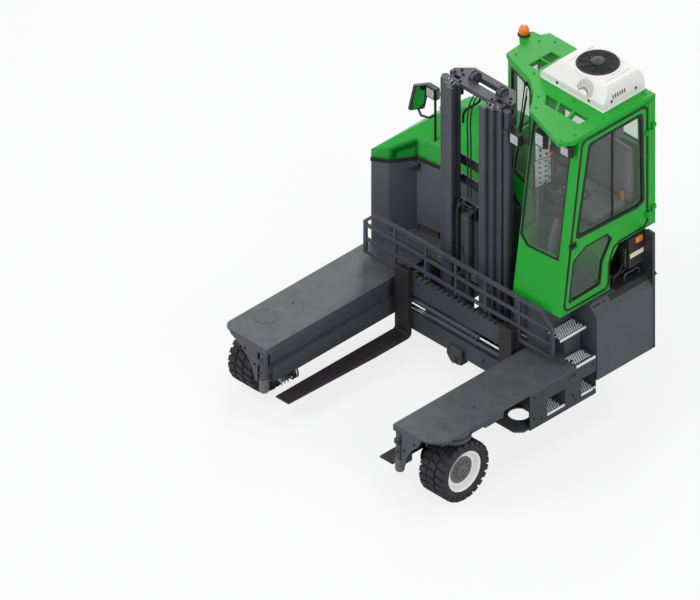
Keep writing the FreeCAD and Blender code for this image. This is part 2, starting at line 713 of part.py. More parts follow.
def build_mast_inner():
    """Inner mast with braces, and the crosshead that reaches back over the lift cylinders."""
    pieces = [
        mast_rail(f"inner_{side}", side, inner_out, inner_out - nested_web, inner_front,
                  inner_front + column_depth - mast_flange, mast_bottom, mast_top)
        for side in ("left", "right")
    ]
    pieces += nest_rollers("inner_roller", inner_out - nested_web + mast_web, middle_out - nested_web, inner_front)
    back = inner_front + column_depth
    half = middle_out - rail_wide - gap
    for number, (z0, z1) in enumerate([(mast_bottom, 340), (1300, 1360)]):
        pieces += rail_brace(f"inner_brace_{number}", half, half, back, back, z0, z1)
    head_front = column_front + column_depth + gap
    head_top = mast_top + 5
    head_low = head_top - head_height
    pieces.append(box("head_beam", -half, half, back - 1, back + 25, mast_top - 30, head_top))
    pieces.append(box("head_bridge", -half, half, back + 24, head_front + 1, head_low, head_top))
    head_half = column_out + 3
    chamfer = 97
    head = prism("head_plate", "XY", [
        (-head_half, head_front),
        (head_half, head_front),
        (head_half, head_rear - chamfer),
        (head_half - chamfer, head_rear),
        (-head_half + chamfer, head_rear),
        (-head_half, head_rear - chamfer),
    ], head_low, head_top)
    slot = box("head_slot", -129, 181, head_front + 25, head_rear - 58, head_low - 1, head_top + 1)
    pieces.append(cut("head_body", head, [slot]))
    keep("mast_inner", fuse("mast_inner_body", pieces))


def build_lift_cylinders():
    """Lift cylinder barrels in the outer rails' pockets and their rods under the middle mast's caps."""
    barrels = []
    rods = []
    rod_radius = 20
    foot_low = 530
    for side in ("left", "right"):
        x = arm_side(side) * cylinder_out
        barrel = cylinder(f"{side}_barrel", "Z", barrel_radius, x, cylinder_line, foot_low, rod_foot - 6 - foot_low)
        bore = cylinder(f"{side}_bore", "Z", rod_radius + fit, x, cylinder_line, foot_low + 40, mast_top - foot_low)
        barrels.append(cut(f"{side}_lift_barrel", barrel, [bore]))
        rods.append(cylinder(f"{side}_rod", "Z", rod_radius, x, cylinder_line, foot_low + 50,
                             rod_foot - foot_low - 50))
    keep("lift_cylinders", group("lift_cylinders_group", barrels))
    keep("lift_rods", group("lift_rods_group", rods))


def build_free_lift():
    """Free-lift cylinder in the middle of the inner mast with its hose and chain pulleys."""
    line = inner_front + 45
    barrel = cylinder("free_barrel", "Z", 36, 0, line, mast_bottom, 1060)
    rear_lug = box("free_lug", -25, 25, line, inner_front + column_depth, mast_bottom, mast_bottom + 70)
    top = box("free_top", -56, 56, line - 20, line + 20, mast_bottom + 1050, mast_bottom + 1080)
    cheeks = [
        box(f"free_cheek_{side}", *across(side, 12, 22), line - 20, line + 20, mast_bottom + 1075,
            mast_bottom + 1170)
        for side in ("left", "right")
    ]
    pulleys = [
        cylinder(f"free_pulley_{side}", "X", 42, across(side, 22, 52)[0], line - 8, mast_bottom + 1105, 30)
        for side in ("left", "right")
    ]
    pin = cylinder("free_pin", "X", 12, -56, line - 8, mast_bottom + 1105, 112)
    keep("free_lift_cylinder", fuse("free_lift_body", [barrel, rear_lug, top, pin] + cheeks + pulleys))


def build_reach_carriage():
    """Cross frame that carries the mast along the arms on rollers in their rails."""
    side_gap = 14
    out = arm_inner - side_gap
    beam = box("reach_beam", -out, out, column_front + 10, column_front + column_depth - 10,
               rail_low - 40, rail_low + 100)
    mast_space = box("reach_mast_space", -column_out, column_out, column_front - 5,
                     column_front + column_depth + 60, rail_low - 60, rail_low + 120)
    beam = cut("reach_beam_cut", beam, [mast_space])
    pieces = [beam]
    for side in ("left", "right"):
        x0, x1 = across(side, out - 30, out)
        pieces.append(box(f"{side}_reach_plate", x0, x1, column_front - 30, arm_rear - 20, rail_low - 60,
                          rail_high + 20))
        r0, r1 = across(side, out - 5, arm_inner + rail_depth - gap)
        for number, y in enumerate((column_front + 40, arm_rear - 80)):
            pieces.append(cylinder(f"{side}_reach_roller_{number}", "X", (rail_high - rail_low) / 2 - running_gap, r0, y,
                                   (rail_high + rail_low) / 2, r1 - r0))
    keep("reach_frame", group("reach_frame_group", [fuse("reach_left_right", pieces)]))


def build_lift_carriage():
    """Roller plates that climb in the inner mast, with the two fork bars."""
    pieces = []
    plate_out = inner_out - rail_wide - gap
    roller_size = column_depth / 2 - mast_flange - running_gap
    bar_rear = bar_front + bar_depth
    for side in ("left", "right"):
        x0, x1 = across(side, plate_out - 12, plate_out)
        pieces.append(box(f"{side}_carriage_plate", x0, x1, bar_rear - 1, inner_front + 70, low_bar_high - 40,
                          top_bar_high - 20))
        r0, r1 = across(side, plate_out - 1, inner_out - nested_web - gap)
        for number, z in enumerate((low_bar_high, top_bar_high - 60)):
            pieces.append(cylinder(f"{side}_carriage_roller_{number}", "X", roller_size, r0,
                                   inner_front + column_depth / 2, z, r1 - r0))
    low_bar = box("low_bar", -bar_half, bar_half, bar_front, bar_rear, low_bar_low, low_bar_high)
    top_bar = box("top_bar", -bar_half, bar_half, bar_front, bar_rear, top_bar_low, top_bar_high)
    notch_count = 21
    notches = [
        box(f"bar_notch_{number}", x - 8, x + 8, bar_front - 1, bar_rear + 1, top_bar_high - 10, top_bar_high + 1)
        for number, x in enumerate(step * 50 for step in range(-(notch_count // 2), notch_count // 2 + 1))
    ]
    top_bar = cut("top_bar_notched", top_bar, notches)
    lug = box("bar_lug", -52, 44, bar_front - 14, bar_rear + 14, 150, low_bar_low + 60)
    ends = [
        box(f"bar_end_{side}", *across(side, bar_half - 20, bar_half), bar_front + 1, bar_rear, low_bar_high - 1,
            top_bar_low + 1)
        for side in ("left", "right")
    ]
    ties = [
        box(f"bar_tie_{number}", x - 12, x + 12, bar_rear - 5, bar_rear + 12, low_bar_high - 30, top_bar_low + 30)
        for number, x in enumerate((-320, -170, 170, 320))
    ]
    keep("lift_carriage", fuse("lift_carriage_body", pieces + [low_bar, top_bar, lug] + ends + ties))


def build_positioner():
    """Fork positioner rods between the fork bars."""
    line = bar_front + bar_depth / 2
    run = bar_half * 2 - 40
    rods = [
        cylinder(f"positioner_rod_{number}", "X", 12, -bar_half + 20, line, z, run)
        for number, z in enumerate((385, 440))
    ]
    keep("positioner_rods", group("positioner_rods_group", rods))


def build_load_guard():
    """Wide load guard of flat bars, carried by brackets behind the upper fork bar."""
    y0 = guard_front
    y1 = guard_front + guard_thick
    post = 30
    chamfer = 110
    rail = 25
    pieces = [box("guard_top", -guard_half + chamfer, guard_half - chamfer, y0, y1, guard_high - 35, guard_high)]
    for number, z in enumerate((715, 830)):
        pieces.append(box(f"guard_rail_{number}", -guard_half, guard_half, y0, y1, z, z + rail))
    for side in ("left", "right"):
        sign = arm_side(side)
        x0, x1 = across(side, bar_half + 5, guard_half)
        pieces.append(box(f"guard_wing_{side}", x0, x1, y0, y1, guard_low, guard_low + rail))
        p0, p1 = across(side, guard_half - post, guard_half)
        pieces.append(box(f"guard_post_{side}", p0, p1, y0, y1, guard_low, guard_post))
        pieces.append(prism(f"guard_corner_{side}", "XZ", [
            (sign * guard_half, guard_post - 1),
            (sign * guard_half, guard_post),
            (sign * (guard_half - chamfer), guard_high),
            (sign * (guard_half - chamfer), guard_high - 35),
            (sign * (guard_half - post), guard_post - 1),
        ], y0, y1))
    bar_rear = bar_front + bar_depth
    for number, x in enumerate((-602, -312, -28, 256, 576)):
        wing = abs(x) > bar_half.value
        pieces.append(box(f"guard_upright_{number}", x - 11, x + 11, y0, y1, guard_low if wing else 690,
                          guard_high))
        if not wing:
            pieces.append(box(f"guard_bracket_{number}", x - 11, x + 11, y1 - 1, bar_rear + 12, 700, 860))
            pieces.append(box(f"guard_foot_{number}", x - 11, x + 11, bar_rear, bar_rear + 12, 560, 701))
    keep("load_guard", fuse("load_guard_body", pieces))


def build_forks():
    """L-shaped forks hooked on the bars."""
    shank_rear = fork_face + fork_thick
    under = fork_top - fork_thick
    for side in ("left", "right"):
        x0, x1 = across(side, fork_out - fork_width / 2, fork_out + fork_width / 2)
        fork = prism(f"{side}_fork_body", "YZ", [
            (fork_tip, fork_top - 14),
            (fork_tip, fork_top),
            (fork_face - 12, fork_top),
            (fork_face, fork_top + 12),
            (fork_face, shank_top),
            (shank_rear, shank_top),
            (shank_rear, under + 34),
            (shank_rear - 10, under + 10),
            (shank_rear - 34, under),
            (fork_face - 300, under),
        ], x0, x1)
        hook = box(f"{side}_fork_hook", x0 + 15, x1 - 15, shank_rear - 1, bar_front + 11, top_bar_high + running_gap,
                   top_bar_high + 26)
        keep(f"{side}_fork", fuse(f"{side}_fork_fuse", [fork, hook]))


# ---- wheels ----
def wheel_parts(name, x, y, radius, rim_radius, sign):
    """Tyre and dished rim round an axle along X, with the dish to the outside."""
    half = tyre_width / 2
    section = as_size(radius) - rim_radius
    shoulder = section * 0.3
    bead = section * 0.27
    tyre = turned(f"{name}_tyre_body", "X", [
        (rim_radius, -half + 14),
        (rim_radius + bead, -half),
        (radius - shoulder, -half),
        (radius, -half + shoulder),
        (radius, half - shoulder),
        (radius - shoulder, half),
        (rim_radius + bead, half),
        (rim_radius, half - 14),
    ], x, y, radius)
    rim = turned(f"{name}_rim_body", "X", [
        (axle_radius + fit, sign * 2),
        (axle_radius + fit, sign * 26),
        (rim_radius * 0.55, sign * 34),
        (rim_radius * 0.62, sign * 22),
        (rim_radius - 34, sign * 30),
        (rim_radius - 20, sign * (half - 14)),
        (rim_radius, sign * (half - 14)),
        (rim_radius, sign * (-half + 14)),
        (rim_radius - 14, sign * (-half + 14)),
        (rim_radius - 22, sign * 0),
        (rim_radius * 0.6, sign * 2),
    ], x, y, radius)
    keep(f"{name}_tyre", tyre)
    keep(f"{name}_rim", rim)


def build_front_wheel(side):
    """Tyre, rim and the knuckle that steers them: disc, kingpin, arm, axle and wheel motor."""
    sign = arm_side(side)
    x = sign * wheel_out
    radius = tyre_diameter / 2
    wheel_parts(f"{side}_wheel", x, wheel_line, radius, rim_diameter / 2, sign)
    plate_top = deck_top - deck_plate - ring_height - running_gap
    inner_face = wheel_out - tyre_width / 2
    disc = cylinder(f"{side}_knuckle_disc", "Z", 120, x, wheel_line, plate_top - 28, 28)
    pin = cylinder(f"{side}_kingpin", "Z", kingpin_radius, x, wheel_line, plate_top - 1, ring_height - 6)
    arm = box(f"{side}_knuckle_arm", *across(side, inner_face - 45, inner_face - 10), wheel_line - 55,
              wheel_line + 55, radius - 60, plate_top)
    bridge = box(f"{side}_knuckle_bridge", *across(side, inner_face - 45, wheel_out), wheel_line - 55,
                 wheel_line + 55, plate_top - 28, plate_top)
    b0, b1 = across(side, inner_face - 12, wheel_out + 20)
    axle = cylinder(f"{side}_axle", "X", axle_radius, b0, wheel_line, radius, b1 - b0)
    m0, m1 = across(side, inner_face - 122, inner_face - 44)
    motor = cylinder(f"{side}_motor", "X", motor_radius, m0, wheel_line, radius, m1 - m0)
    keep(f"{side}_knuckle", fuse(f"{side}_knuckle_body", [disc, pin, arm, bridge, axle, motor]))


def build_rear_wheel():
    """Rear wheel in its fork-shaped knuckle under the rear deck."""
    radius = rear_tyre / 2
    wheel_parts("rear_wheel", as_size(0), rear_line, radius, rear_rim / 2, 1)
    plate_top = deck_rear_low - running_gap
    fork_half = 165
    plate = box("rear_knuckle_plate", -fork_half, fork_half, rear_line - 70, rear_line + 70, plate_top - 28,
                plate_top)
    pin = cylinder("rear_kingpin", "Z", kingpin_radius, 0, rear_line, plate_top - 1, 34)
    arms = [
        box(f"rear_knuckle_arm_{side}", *across(side, tyre_width / 2 + 15, fork_half), rear_line - 60,
            rear_line + 60, radius - 70, plate_top)
        for side in ("left", "right")
    ]
    axle = cylinder("rear_axle", "X", axle_radius, -150, rear_line, radius, 300)
    keep("rear_knuckle", fuse("rear_knuckle_body", [plate, pin, axle] + arms))


def build_guide_rollers():
    """Upright guide rollers under their sleeves at the inner front corners of the arms."""
    for side in ("left", "right"):
        x = arm_side(side) * (arm_inner + rail_width)
        y = arm_front + 24
        drum_top = 300 - running_gap
        drum = cylinder(f"{side}_roller_drum", "Z", roller_radius, x, y, roller_low + 18, drum_top - roller_low - 18)
        pin = cylinder(f"{side}_roller_pin", "Z", 14, x, y, drum_top - 1, 140)
        ball = doc.addObject("Part::Sphere", f"{side}_roller_ball")
        bind(ball, "Radius", roller_radius - 4)
        place(ball, x, y, roller_low + roller_radius - 4)
        keep(f"{side}_guide_roller", fuse(f"{side}_roller_body", [drum, pin, ball]))


# ---- cab ----
def front_line(z, extra):
    """Y of the cab's leaning front at a height, moved back by extra."""
    return cab_front + extra + (as_size(z) - cab_floor) * (cab_lean / (cab_top - cab_floor))


def wall_line(x, depth):
    """Y of the slanting walls beside the mast at a distance across, depth inside the wall's face."""
    if as_size(x).value > cab_knee_x.value:
        slope = (cab_knee_y - cab_ear) / (cab_knee_x - cab_nose_left)
        slant = 1.29
    else:
        slope = (cab_knee_y - cab_hip) / (cab_knee_x - cab_left)
        slant = 1.05
    return cab_knee_y + (as_size(x) - cab_knee_x) * slope + as_size(depth) * slant


def cab_plan(inset):
    return [
        (cab_nose_left + inset, cab_front - 10),
        (cab_out - inset, cab_front - 10),
        (cab_out - inset, cab_rear - inset),
        (cab_left + inset, cab_rear - inset),
        (cab_left + inset, cab_hip + inset * 0.7),
        (cab_knee_x + inset * 0.55, cab_knee_y + inset * 0.9),
        (cab_nose_left + inset, cab_ear + inset * 0.45),
    ]


def cab_side(inset):
    return [
        (front_line(cab_floor, inset), cab_floor + inset),
        (front_line(cab_top, inset), cab_top + 1),
        (cab_rear - inset, cab_top + 1),
        (cab_rear - inset, cab_step + inset),
        (760 - inset, cab_step + inset),
        (677 - inset, 1180 + inset),
        (672 - inset, cab_floor + inset),
    ]


def door_outline(inset):
    """Side view of the door, with its foot cut away over the tank."""
    return [
        (front_line(cab_floor + 17, 25 + inset), cab_floor + 17 + inset),
        (front_line(cab_top - 5, 25 + inset), cab_top - 5 - inset),
        (1036 - inset, cab_top - 5 - inset),
        (1036 - inset, cab_step + 12 + inset),
        (770 - inset, cab_step + 8 + inset),
        (713 - inset, 1275),
        (675 - inset, 1180),
        (664 - inset, cab_floor + 17 + inset),
    ]


upper_glass = [(362, 1533), (485, 2240), (975, 2240), (988, 1525), (932, 1505)]
lower_glass = [(286, 1036), (330, 1354), (447, 1420), (647, 1420), (690, 1367), (599, 1217), (580, 1046)]


def windshield_window(edge):
    return [
        (cab_nose_left + 10 + edge, 1400 + edge),
        (cab_nose_left + 80 + edge * 0.4, 1342 + edge),
        (853 - edge, 1362 + edge),
        (853 - edge, cab_top - 25 - edge),
        (cab_nose_left + 10 + edge, cab_top - 25 - edge),
    ]


def rear_window(edge):
    return [
        (60 + edge, 1500 + edge),
        (200 - edge * 0.4, 1500 + edge),
        (553 - edge * 0.4, 1880 + edge),
        (850 - edge, 1880 + edge),
        (850 - edge, cab_top - 55 - edge),
        (60 + edge, cab_top - 55 - edge),
    ]


def nose_window(edge):
    return [
        (front_line(1420, 35 + edge * 1.2), 1420 + edge),
        (front_line(2190, 35 + edge * 1.2), 2190 - edge),
        (cab_ear - 12 - edge, 2190 - edge),
        (cab_ear - 12 - edge, 1420 + edge),
    ]


slant_low = 1420
slant_high = 2250
slant_panes = [(cab_left + cab_wall + 10, cab_knee_x - 28), (cab_knee_x + 28, cab_nose_left - 35)]
left_pane = [800, 1040, 1680, 2240]


def door_knuckles(name, heights, reach):
    """External hinges: a strap, a stand-off on its own side and a round knuckle on the hinge line."""
    pieces = []
    for number, z in enumerate(heights):
        pieces.append(cylinder(f"{name}_round_{number}", "Z", 9, hinge_out, hinge_line, z, 34))
        y0, y1 = (1005, hinge_line) if reach == "door" else (hinge_line, cab_rear - 2)
        pieces.append(box(f"{name}_strap_{number}", cab_out + gap, hinge_out + 2, y0, y1, z, z + 34))
        y0, y1 = (1005, 1032) if reach == "door" else (hinge_line + 12, cab_rear - 2)
        pieces.append(box(f"{name}_stand_{number}", cab_out - 1, cab_out + gap + 1, y0, y1, z, z + 34))
    return pieces


def build_cab_frame():
    """Hollow welded cab: floor, leaning front, walls and posts with cut windows."""
    outside = common("cab_out_solid", prism("cab_out_plan", "XY", cab_plan(as_size(0)), cab_floor, cab_top),
                     prism("cab_out_side", "YZ", cab_side(as_size(0)), cab_left, cab_out))
    inside = common("cab_in_solid", prism("cab_in_plan", "XY", cab_plan(cab_wall), cab_floor, cab_top + 1),
                    prism("cab_in_side", "YZ", cab_side(cab_wall), cab_left, cab_out))
    front_wall = prism("front_wall", "YZ", [
        (front_line(1330, -20), 1330),
        (front_line(2290, -20), 2290),
        (front_line(2290, cab_wall + 1), 2290),
        (front_line(1330, cab_wall + 1), 1330),
    ], 400, 900)
    front_window = prism("front_window", "XZ", windshield_window(0), cab_front - 20, 460)
    holes = [
        inside,
        prism("door_hole", "YZ", door_outline(-gap), cab_out - cab_wall - 1, cab_out + 1),
        common("windshield_hole", front_wall, front_window),
        prism("rear_window_hole", "XZ", rear_window(0), cab_rear - cab_wall - 1, cab_rear + 1),
        box("left_window_hole", cab_left - 1, cab_left + cab_wall + 1, *left_pane),
        prism("nose_window_hole", "YZ", nose_window(0), cab_nose_left - 1, cab_nose_left + cab_wall + 1),
    ]
    for number, (x0, x1) in enumerate(slant_panes):
        holes.append(box(f"slant_hole_{number}", x0, x1, 440, 800, slant_low, slant_high))
    shell = cut("cab_shell", outside, holes)
    knuckles = door_knuckles("post_knuckle", (1416, 2086), "post")
    keep("cab_frame", fuse("cab_frame_fuse", [shell] + knuckles))


def roof_plan():
    return [
        (cab_left - 2, 734),
        (-47, 708),
        (cab_knee_x, 625),
        (328, 541),
        (400, 460),
        (457, 374),
        (866, 241),
        (cab_out, 330),
        (cab_out, cab_rear + 5),
        (cab_left + 38, cab_rear + 5),
        (cab_left + 12, 1052),
        (cab_left - 55, 1043),
        (cab_left - 97, 951),
        (cab_left - 14, 878),
    ]


def build_cab_roof():
    """Roof plate with glazed slots in front and at the rear left, and a tab for the beacon."""
    plate = prism("roof_plate", "XY", roof_plan(), cab_top, cab_top + roof_thick)
    outlines = [
        [(410, 588), (485, 500), (575, 500), (520, 588)],
        [(545, 588), (600, 500), (690, 500), (660, 588)],
        [(685, 588), (715, 500), (805, 500), (813, 588)],
        [(85, 748), (165, 748), (165, 850), (85, 850)],
        [(85, 866), (165, 866), (165, 960), (85, 960)],
    ]
    slots = [
        prism(f"roof_slot_{number}", "XY", outline, cab_top - 1, cab_top + roof_thick + 1)
        for number, outline in enumerate(outlines)
    ]
    keep("cab_roof", cut("cab_roof_cut", plate, slots))


def build_cab_windows():
    """Panes of the cab: the leaning front, the narrow left nose, two slanting, the left and the rear."""
    edge = running_gap
    slab = prism("front_slab", "YZ", [
        (front_line(1330, 12), 1330),
        (front_line(2290, 12), 2290),
        (front_line(2290, 12) + glass, 2290),
        (front_line(1330, 12) + glass, 1330),
    ], 400, 900)
    outline = prism("front_outline", "XZ", windshield_window(edge), cab_front - 20, 460)
    rear_face = cab_rear - glass_depth
    y0, y1, z0, z1 = left_pane
    panes = [
        common("front_pane", slab, outline),
        prism("rear_pane", "XZ", rear_window(edge), rear_face - glass, rear_face),
        box("left_pane", cab_left + glass_depth, cab_left + glass_depth + glass, y0 + edge, y1 - edge, z0 + edge,
            z1 - edge),
        prism("nose_pane", "YZ", nose_window(edge), cab_nose_left + glass_depth, cab_nose_left + glass_depth + glass),
    ]
    for number, (x0, x1) in enumerate(slant_panes):
        panes.append(prism(f"slant_pane_{number}", "XY", [
            (x0 + edge, wall_line(x0 + edge, glass_depth)),
            (x1 - edge, wall_line(x1 - edge, glass_depth)),
            (x1 - edge, wall_line(x1 - edge, glass_depth + glass)),
            (x0 + edge, wall_line(x0 + edge, glass_depth + glass)),
        ], slant_low + edge, slant_high - edge))
    keep("cab_windows", group("cab_windows_group", panes))


def build_door():
    """Door frame with two windows and its hinges, its glass and its handle."""
    frame = prism("door_slab", "YZ", door_outline(0), cab_out - cab_wall, cab_out)
    holes = [
        prism("door_upper_hole", "YZ", upper_glass, cab_out - cab_wall - 1, cab_out + 1),
        prism("door_lower_hole", "YZ", lower_glass, cab_out - cab_wall - 1, cab_out + 1),
    ]
    frame = cut("door_frame_cut", frame, holes)
    knuckles = door_knuckles("door_knuckle", (1380, 2050), "door")
    keep("door_frame", fuse("door_frame_fuse", [frame] + knuckles))
    panes = [
        prism("door_upper_pane", "YZ", upper_glass, cab_out - 22, cab_out - 22 + glass),
        prism("door_lower_pane", "YZ", lower_glass, cab_out - 22, cab_out - 22 + glass),
    ]
    keep("door_glass", group("door_glass_group", panes))
    keep("door_handle", box("door_handle_bar", cab_out, cab_out + 25, 292, 350, 1470, 1500))


def build_seat():
    """Operator's seat: its box on the raised floor, cushion and back."""
    floor = cab_step + cab_wall
    keep("seat_base", box("seat_box", 440, 810, 730, 1000, floor, floor + 100))
    cushion = box("seat_cushion_box", 400, 850, 620, 925 - running_gap, floor + 100 + running_gap, floor + 215)
    back = box("seat_back_box", 410, 840, 925, 1040, floor + 100 + running_gap, 2130)
    keep("seat_cushions", group("seat_cushions_group", [cushion, back]))


def build_controls():
    """Leaning steering column with its wheel and the side console."""
    floor = cab_floor + cab_wall
    lean = Rotation(Vector(1, 0, 0), -20)
    length = 595
    post = cylinder("steering_post", "Z", 32, 0, 0, -length - 25, length)
    post = fuse("steering_post_leaning", [post, cylinder("steering_boot", "Z", 36, 0, 0, -length - 25, 120)])
    post.Placement = Placement(Vector(), lean)
    place(post, wheel_x, wheel_y, wheel_z)
    foot = box("steering_foot", wheel_x - 45, wheel_x + 45, 280, 360, floor, floor + 165)
    console = box("console_box", 190, 340, 730, 1000, cab_step + cab_wall, 1560)
    keep("controls", group("controls_group", [fuse("steering_stand", [post, foot]), console]))
    ring = doc.addObject("Part::Torus", "steering_ring")
    ring.Radius1 = 150
    ring.Radius2 = 14
    hub = cylinder("steering_hub", "Z", 40, 0, 0, -25 + running_gap, 35)
    spokes = box("steering_spokes", -148, 148, -12, 12, -6, 6)
    wheel = fuse("steering_wheel_body", [ring, hub, spokes])
    wheel.Placement = Placement(Vector(), lean)
    place(wheel, wheel_x, wheel_y, wheel_z)
    keep("steering_wheel", wheel)


def build_roof_unit():
    """Cooling unit on the roof with its fan guard."""
    low = cab_top + roof_thick
    top = low + 165
    across_case = prism("ac_case_across", "XZ", [
        (237, low),
        (835, low),
        (835, low + 110),
        (817, top - 14),
        (800, top),
        (366, top),
        (345, top - 8),
        (237, low + 40),
    ], 600, 1150)
    along_case = prism("ac_case_along", "YZ", [
        (699, low),
        (1097, low),
        (1097, low + 60),
        (1078, top - 14),
        (1062, top),
        (772, top),
        (755, top - 10),
        (699, low + 60),
    ], 200, 900)
    keep("ac_case", common("ac_case_body", across_case, along_case))
    keep("ac_fan_guard", cylinder("ac_fan_disc", "Z", 148, 568, 917, top, 30))


def build_lamps():
    """Beacon on the roof's tab and three work lamps under the roof's front edge."""
    top = cab_top + roof_thick
    stand = cylinder("beacon_stand", "Z", 44, cab_left - 69, 971, top, 14)
    light = cylinder("beacon_light", "Z", 36, cab_left - 69, 971, top + 13, 36)
    cap = doc.addObject("Part::Sphere", "beacon_cap")
    bind(cap, "Radius", 35)
    place(cap, cab_left - 69, 971, top + 40)
    keep("beacon", fuse("beacon_body", [stand, light, cap]))
    under = cab_top
    middle = fuse("lamp_middle", [
        box("lamp_middle_case", 585, 675, 300, 340, under - 140, under - 20),
        box("lamp_middle_bracket", 610, 650, 322, 338, under - 21, under),
    ])
    outer = fuse("lamp_outer", [
        box("lamp_outer_case", 800, 890, 325, 363, under - 125, under - 30),
        box("lamp_outer_bracket", 825, 865, 335, 351, under - 31, under),
    ])
    inner = fuse("lamp_inner", [
        box("lamp_inner_case", 340, 430, 307, 347, 2055, 2145),
        box("lamp_inner_bracket", 380, cab_nose_left, 346, 385, 2075, 2095),
    ])
    keep("work_lamps", group("work_lamps_group", [middle, outer, inner]))


build_chassis_frame()
build_arms()
build_step_panel()
build_step_treads()
build_fuel_tank()
build_rear_panel()
build_cab_base()
build_counterweight()
build_hood_body()
build_engine()
build_hood_lid()
build_mast_outer()
build_mast_middle()
build_mast_inner()
build_lift_cylinders()
build_free_lift()
build_reach_carriage()
build_lift_carriage()
build_positioner()
build_load_guard()
build_forks()
build_front_wheel("left")
build_front_wheel("right")
build_rear_wheel()
build_guide_rollers()
build_cab_frame()
build_cab_roof()
build_cab_windows()
build_door()
build_seat()
build_controls()
build_roof_unit()
build_lamps()

doc.recompute()

# ---- checks and export ----
for item in doc.Objects:
    if "Invalid" in item.State or "Error" in item.State:
        raise RuntimeError(f"{item.Name} failed: {item.State}")
for node, item in nodes.items():
    if item.Shape.isNull() or not item.Shape.isValid():
        raise RuntimeError(f"{node} has no valid shape")

os.makedirs("parts", exist_ok=True)
for node, item in nodes.items():
    item.Shape.exportStep(f"parts/{node}.step")
    print(node, len(item.Shape.Solids), "solids", round(item.Shape.Volume / 1e6, 2), "litres")
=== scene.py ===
import math
import bmesh
import bpy
from mathutils import Matrix, Vector


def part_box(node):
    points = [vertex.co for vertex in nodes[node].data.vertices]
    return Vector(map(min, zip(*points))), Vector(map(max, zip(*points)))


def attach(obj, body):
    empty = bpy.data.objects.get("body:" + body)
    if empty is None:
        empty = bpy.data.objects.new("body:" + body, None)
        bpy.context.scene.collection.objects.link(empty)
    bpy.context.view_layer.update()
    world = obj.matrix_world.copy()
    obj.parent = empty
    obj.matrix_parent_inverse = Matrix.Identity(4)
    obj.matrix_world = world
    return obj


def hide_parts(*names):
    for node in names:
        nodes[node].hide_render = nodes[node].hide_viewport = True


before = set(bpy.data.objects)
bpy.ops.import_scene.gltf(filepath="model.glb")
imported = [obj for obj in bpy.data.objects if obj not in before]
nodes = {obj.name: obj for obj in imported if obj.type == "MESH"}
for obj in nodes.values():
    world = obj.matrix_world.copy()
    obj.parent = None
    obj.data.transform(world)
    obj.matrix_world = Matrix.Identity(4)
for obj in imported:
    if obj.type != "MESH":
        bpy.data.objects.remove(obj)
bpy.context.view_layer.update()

# ---- studio ----
# A plain pale floor under a white world, lit by four large soft lamps, so that each colour
# renders about as it is written. The camera looks down at the cab's front corner in parallel lines.


def linear(code):
    """Linear RGBA of an sRGB hex code."""
    parts = [int(code[i:i + 2], 16) / 255 for i in (0, 2, 4)]
    return [c / 12.92 if c <= 0.04045 else ((c + 0.055) / 1.055) ** 2.4 for c in parts] + [1.0]


def add(tree, kind, inputs=None, **settings):
    """One node with its settings; an input is a value or another node's output."""
    node = tree.nodes.new(kind)
    for name, value in settings.items():
        setattr(node, name, value)
    for name, value in (inputs or {}).items():
        if isinstance(value, bpy.types.NodeSocket):
            tree.links.new(value, node.inputs[name])
        else:
            node.inputs[name].default_value = value
    return node


scene = bpy.context.scene
scene.view_settings.view_transform = "Standard"
world = bpy.data.worlds.new("studio_world")
scene.world = world
world.use_nodes = True
world.node_tree.nodes.clear()
path = add(world.node_tree, "ShaderNodeLightPath")
seen = add(world.node_tree, "ShaderNodeMath", {0: path.outputs["Is Camera Ray"],
    1: path.outputs["Is Transmission Ray"]}, operation="MAXIMUM")
ambient = add(world.node_tree, "ShaderNodeBackground", {"Color": linear("f4f6fa"), "Strength": 0.62})
backdrop = add(world.node_tree, "ShaderNodeBackground", {"Color": [1, 1, 1, 1], "Strength": 1.0})
shown = add(world.node_tree, "ShaderNodeMixShader", {0: seen.outputs[0], 1: ambient.outputs[0],
    2: backdrop.outputs[0]})
add(world.node_tree, "ShaderNodeOutputWorld", {"Surface": shown.outputs[0]})

floor_size = 40.0
floor_mesh = bmesh.new()
bmesh.ops.create_grid(floor_mesh, x_segments=2, y_segments=2, size=floor_size / 2)
floor_data = bpy.data.meshes.new("studio_floor")
floor_mesh.to_mesh(floor_data)
floor_mesh.free()
floor = bpy.data.objects.new("studio_floor", floor_data)
scene.collection.objects.link(floor)
paper = bpy.data.materials.new("white_backdrop_paper")
paper.use_nodes = True
paper.node_tree.nodes.clear()
rays = add(paper.node_tree, "ShaderNodeLightPath")
matt = add(paper.node_tree, "ShaderNodeBsdfDiffuse", {"Color": linear("e2e2e2")})
glow = add(paper.node_tree, "ShaderNodeEmission", {"Color": [1, 1, 1, 1], "Strength": 1.0})
share = add(paper.node_tree, "ShaderNodeMath", {0: rays.outputs["Is Camera Ray"], 1: 0.8},
    operation="MULTIPLY")
mixed = add(paper.node_tree, "ShaderNodeMixShader", {0: share.outputs[0], 1: matt.outputs[0],
    2: glow.outputs[0]})
add(paper.node_tree, "ShaderNodeOutputMaterial", {"Surface": mixed.outputs[0]})
floor.data.materials.append(paper)

for lamp_name, spot, aim, power, side in [("key_lamp", (-3.5, -6.5, 7.0), (0, 0, 0.9), 300, 4.5),
        ("side_lamp", (7.5, -1.5, 5.0), (0, 0, 0.9), 180, 4.0),
        ("top_lamp", (0.5, 1.0, 9.0), (0, 0, 0.0), 120, 6.0),
        ("back_lamp", (-5.0, 6.5, 5.0), (0, 0, 0.9), 200, 4.0)]:
    light = bpy.data.lights.new(lamp_name, "AREA")
    light.energy = power
    light.size = side
    holder = bpy.data.objects.new(lamp_name, light)
    holder.location = spot
    holder.rotation_euler = (Vector(aim) - Vector(spot)).to_track_quat("-Z", "Y").to_euler()
    scene.collection.objects.link(holder)

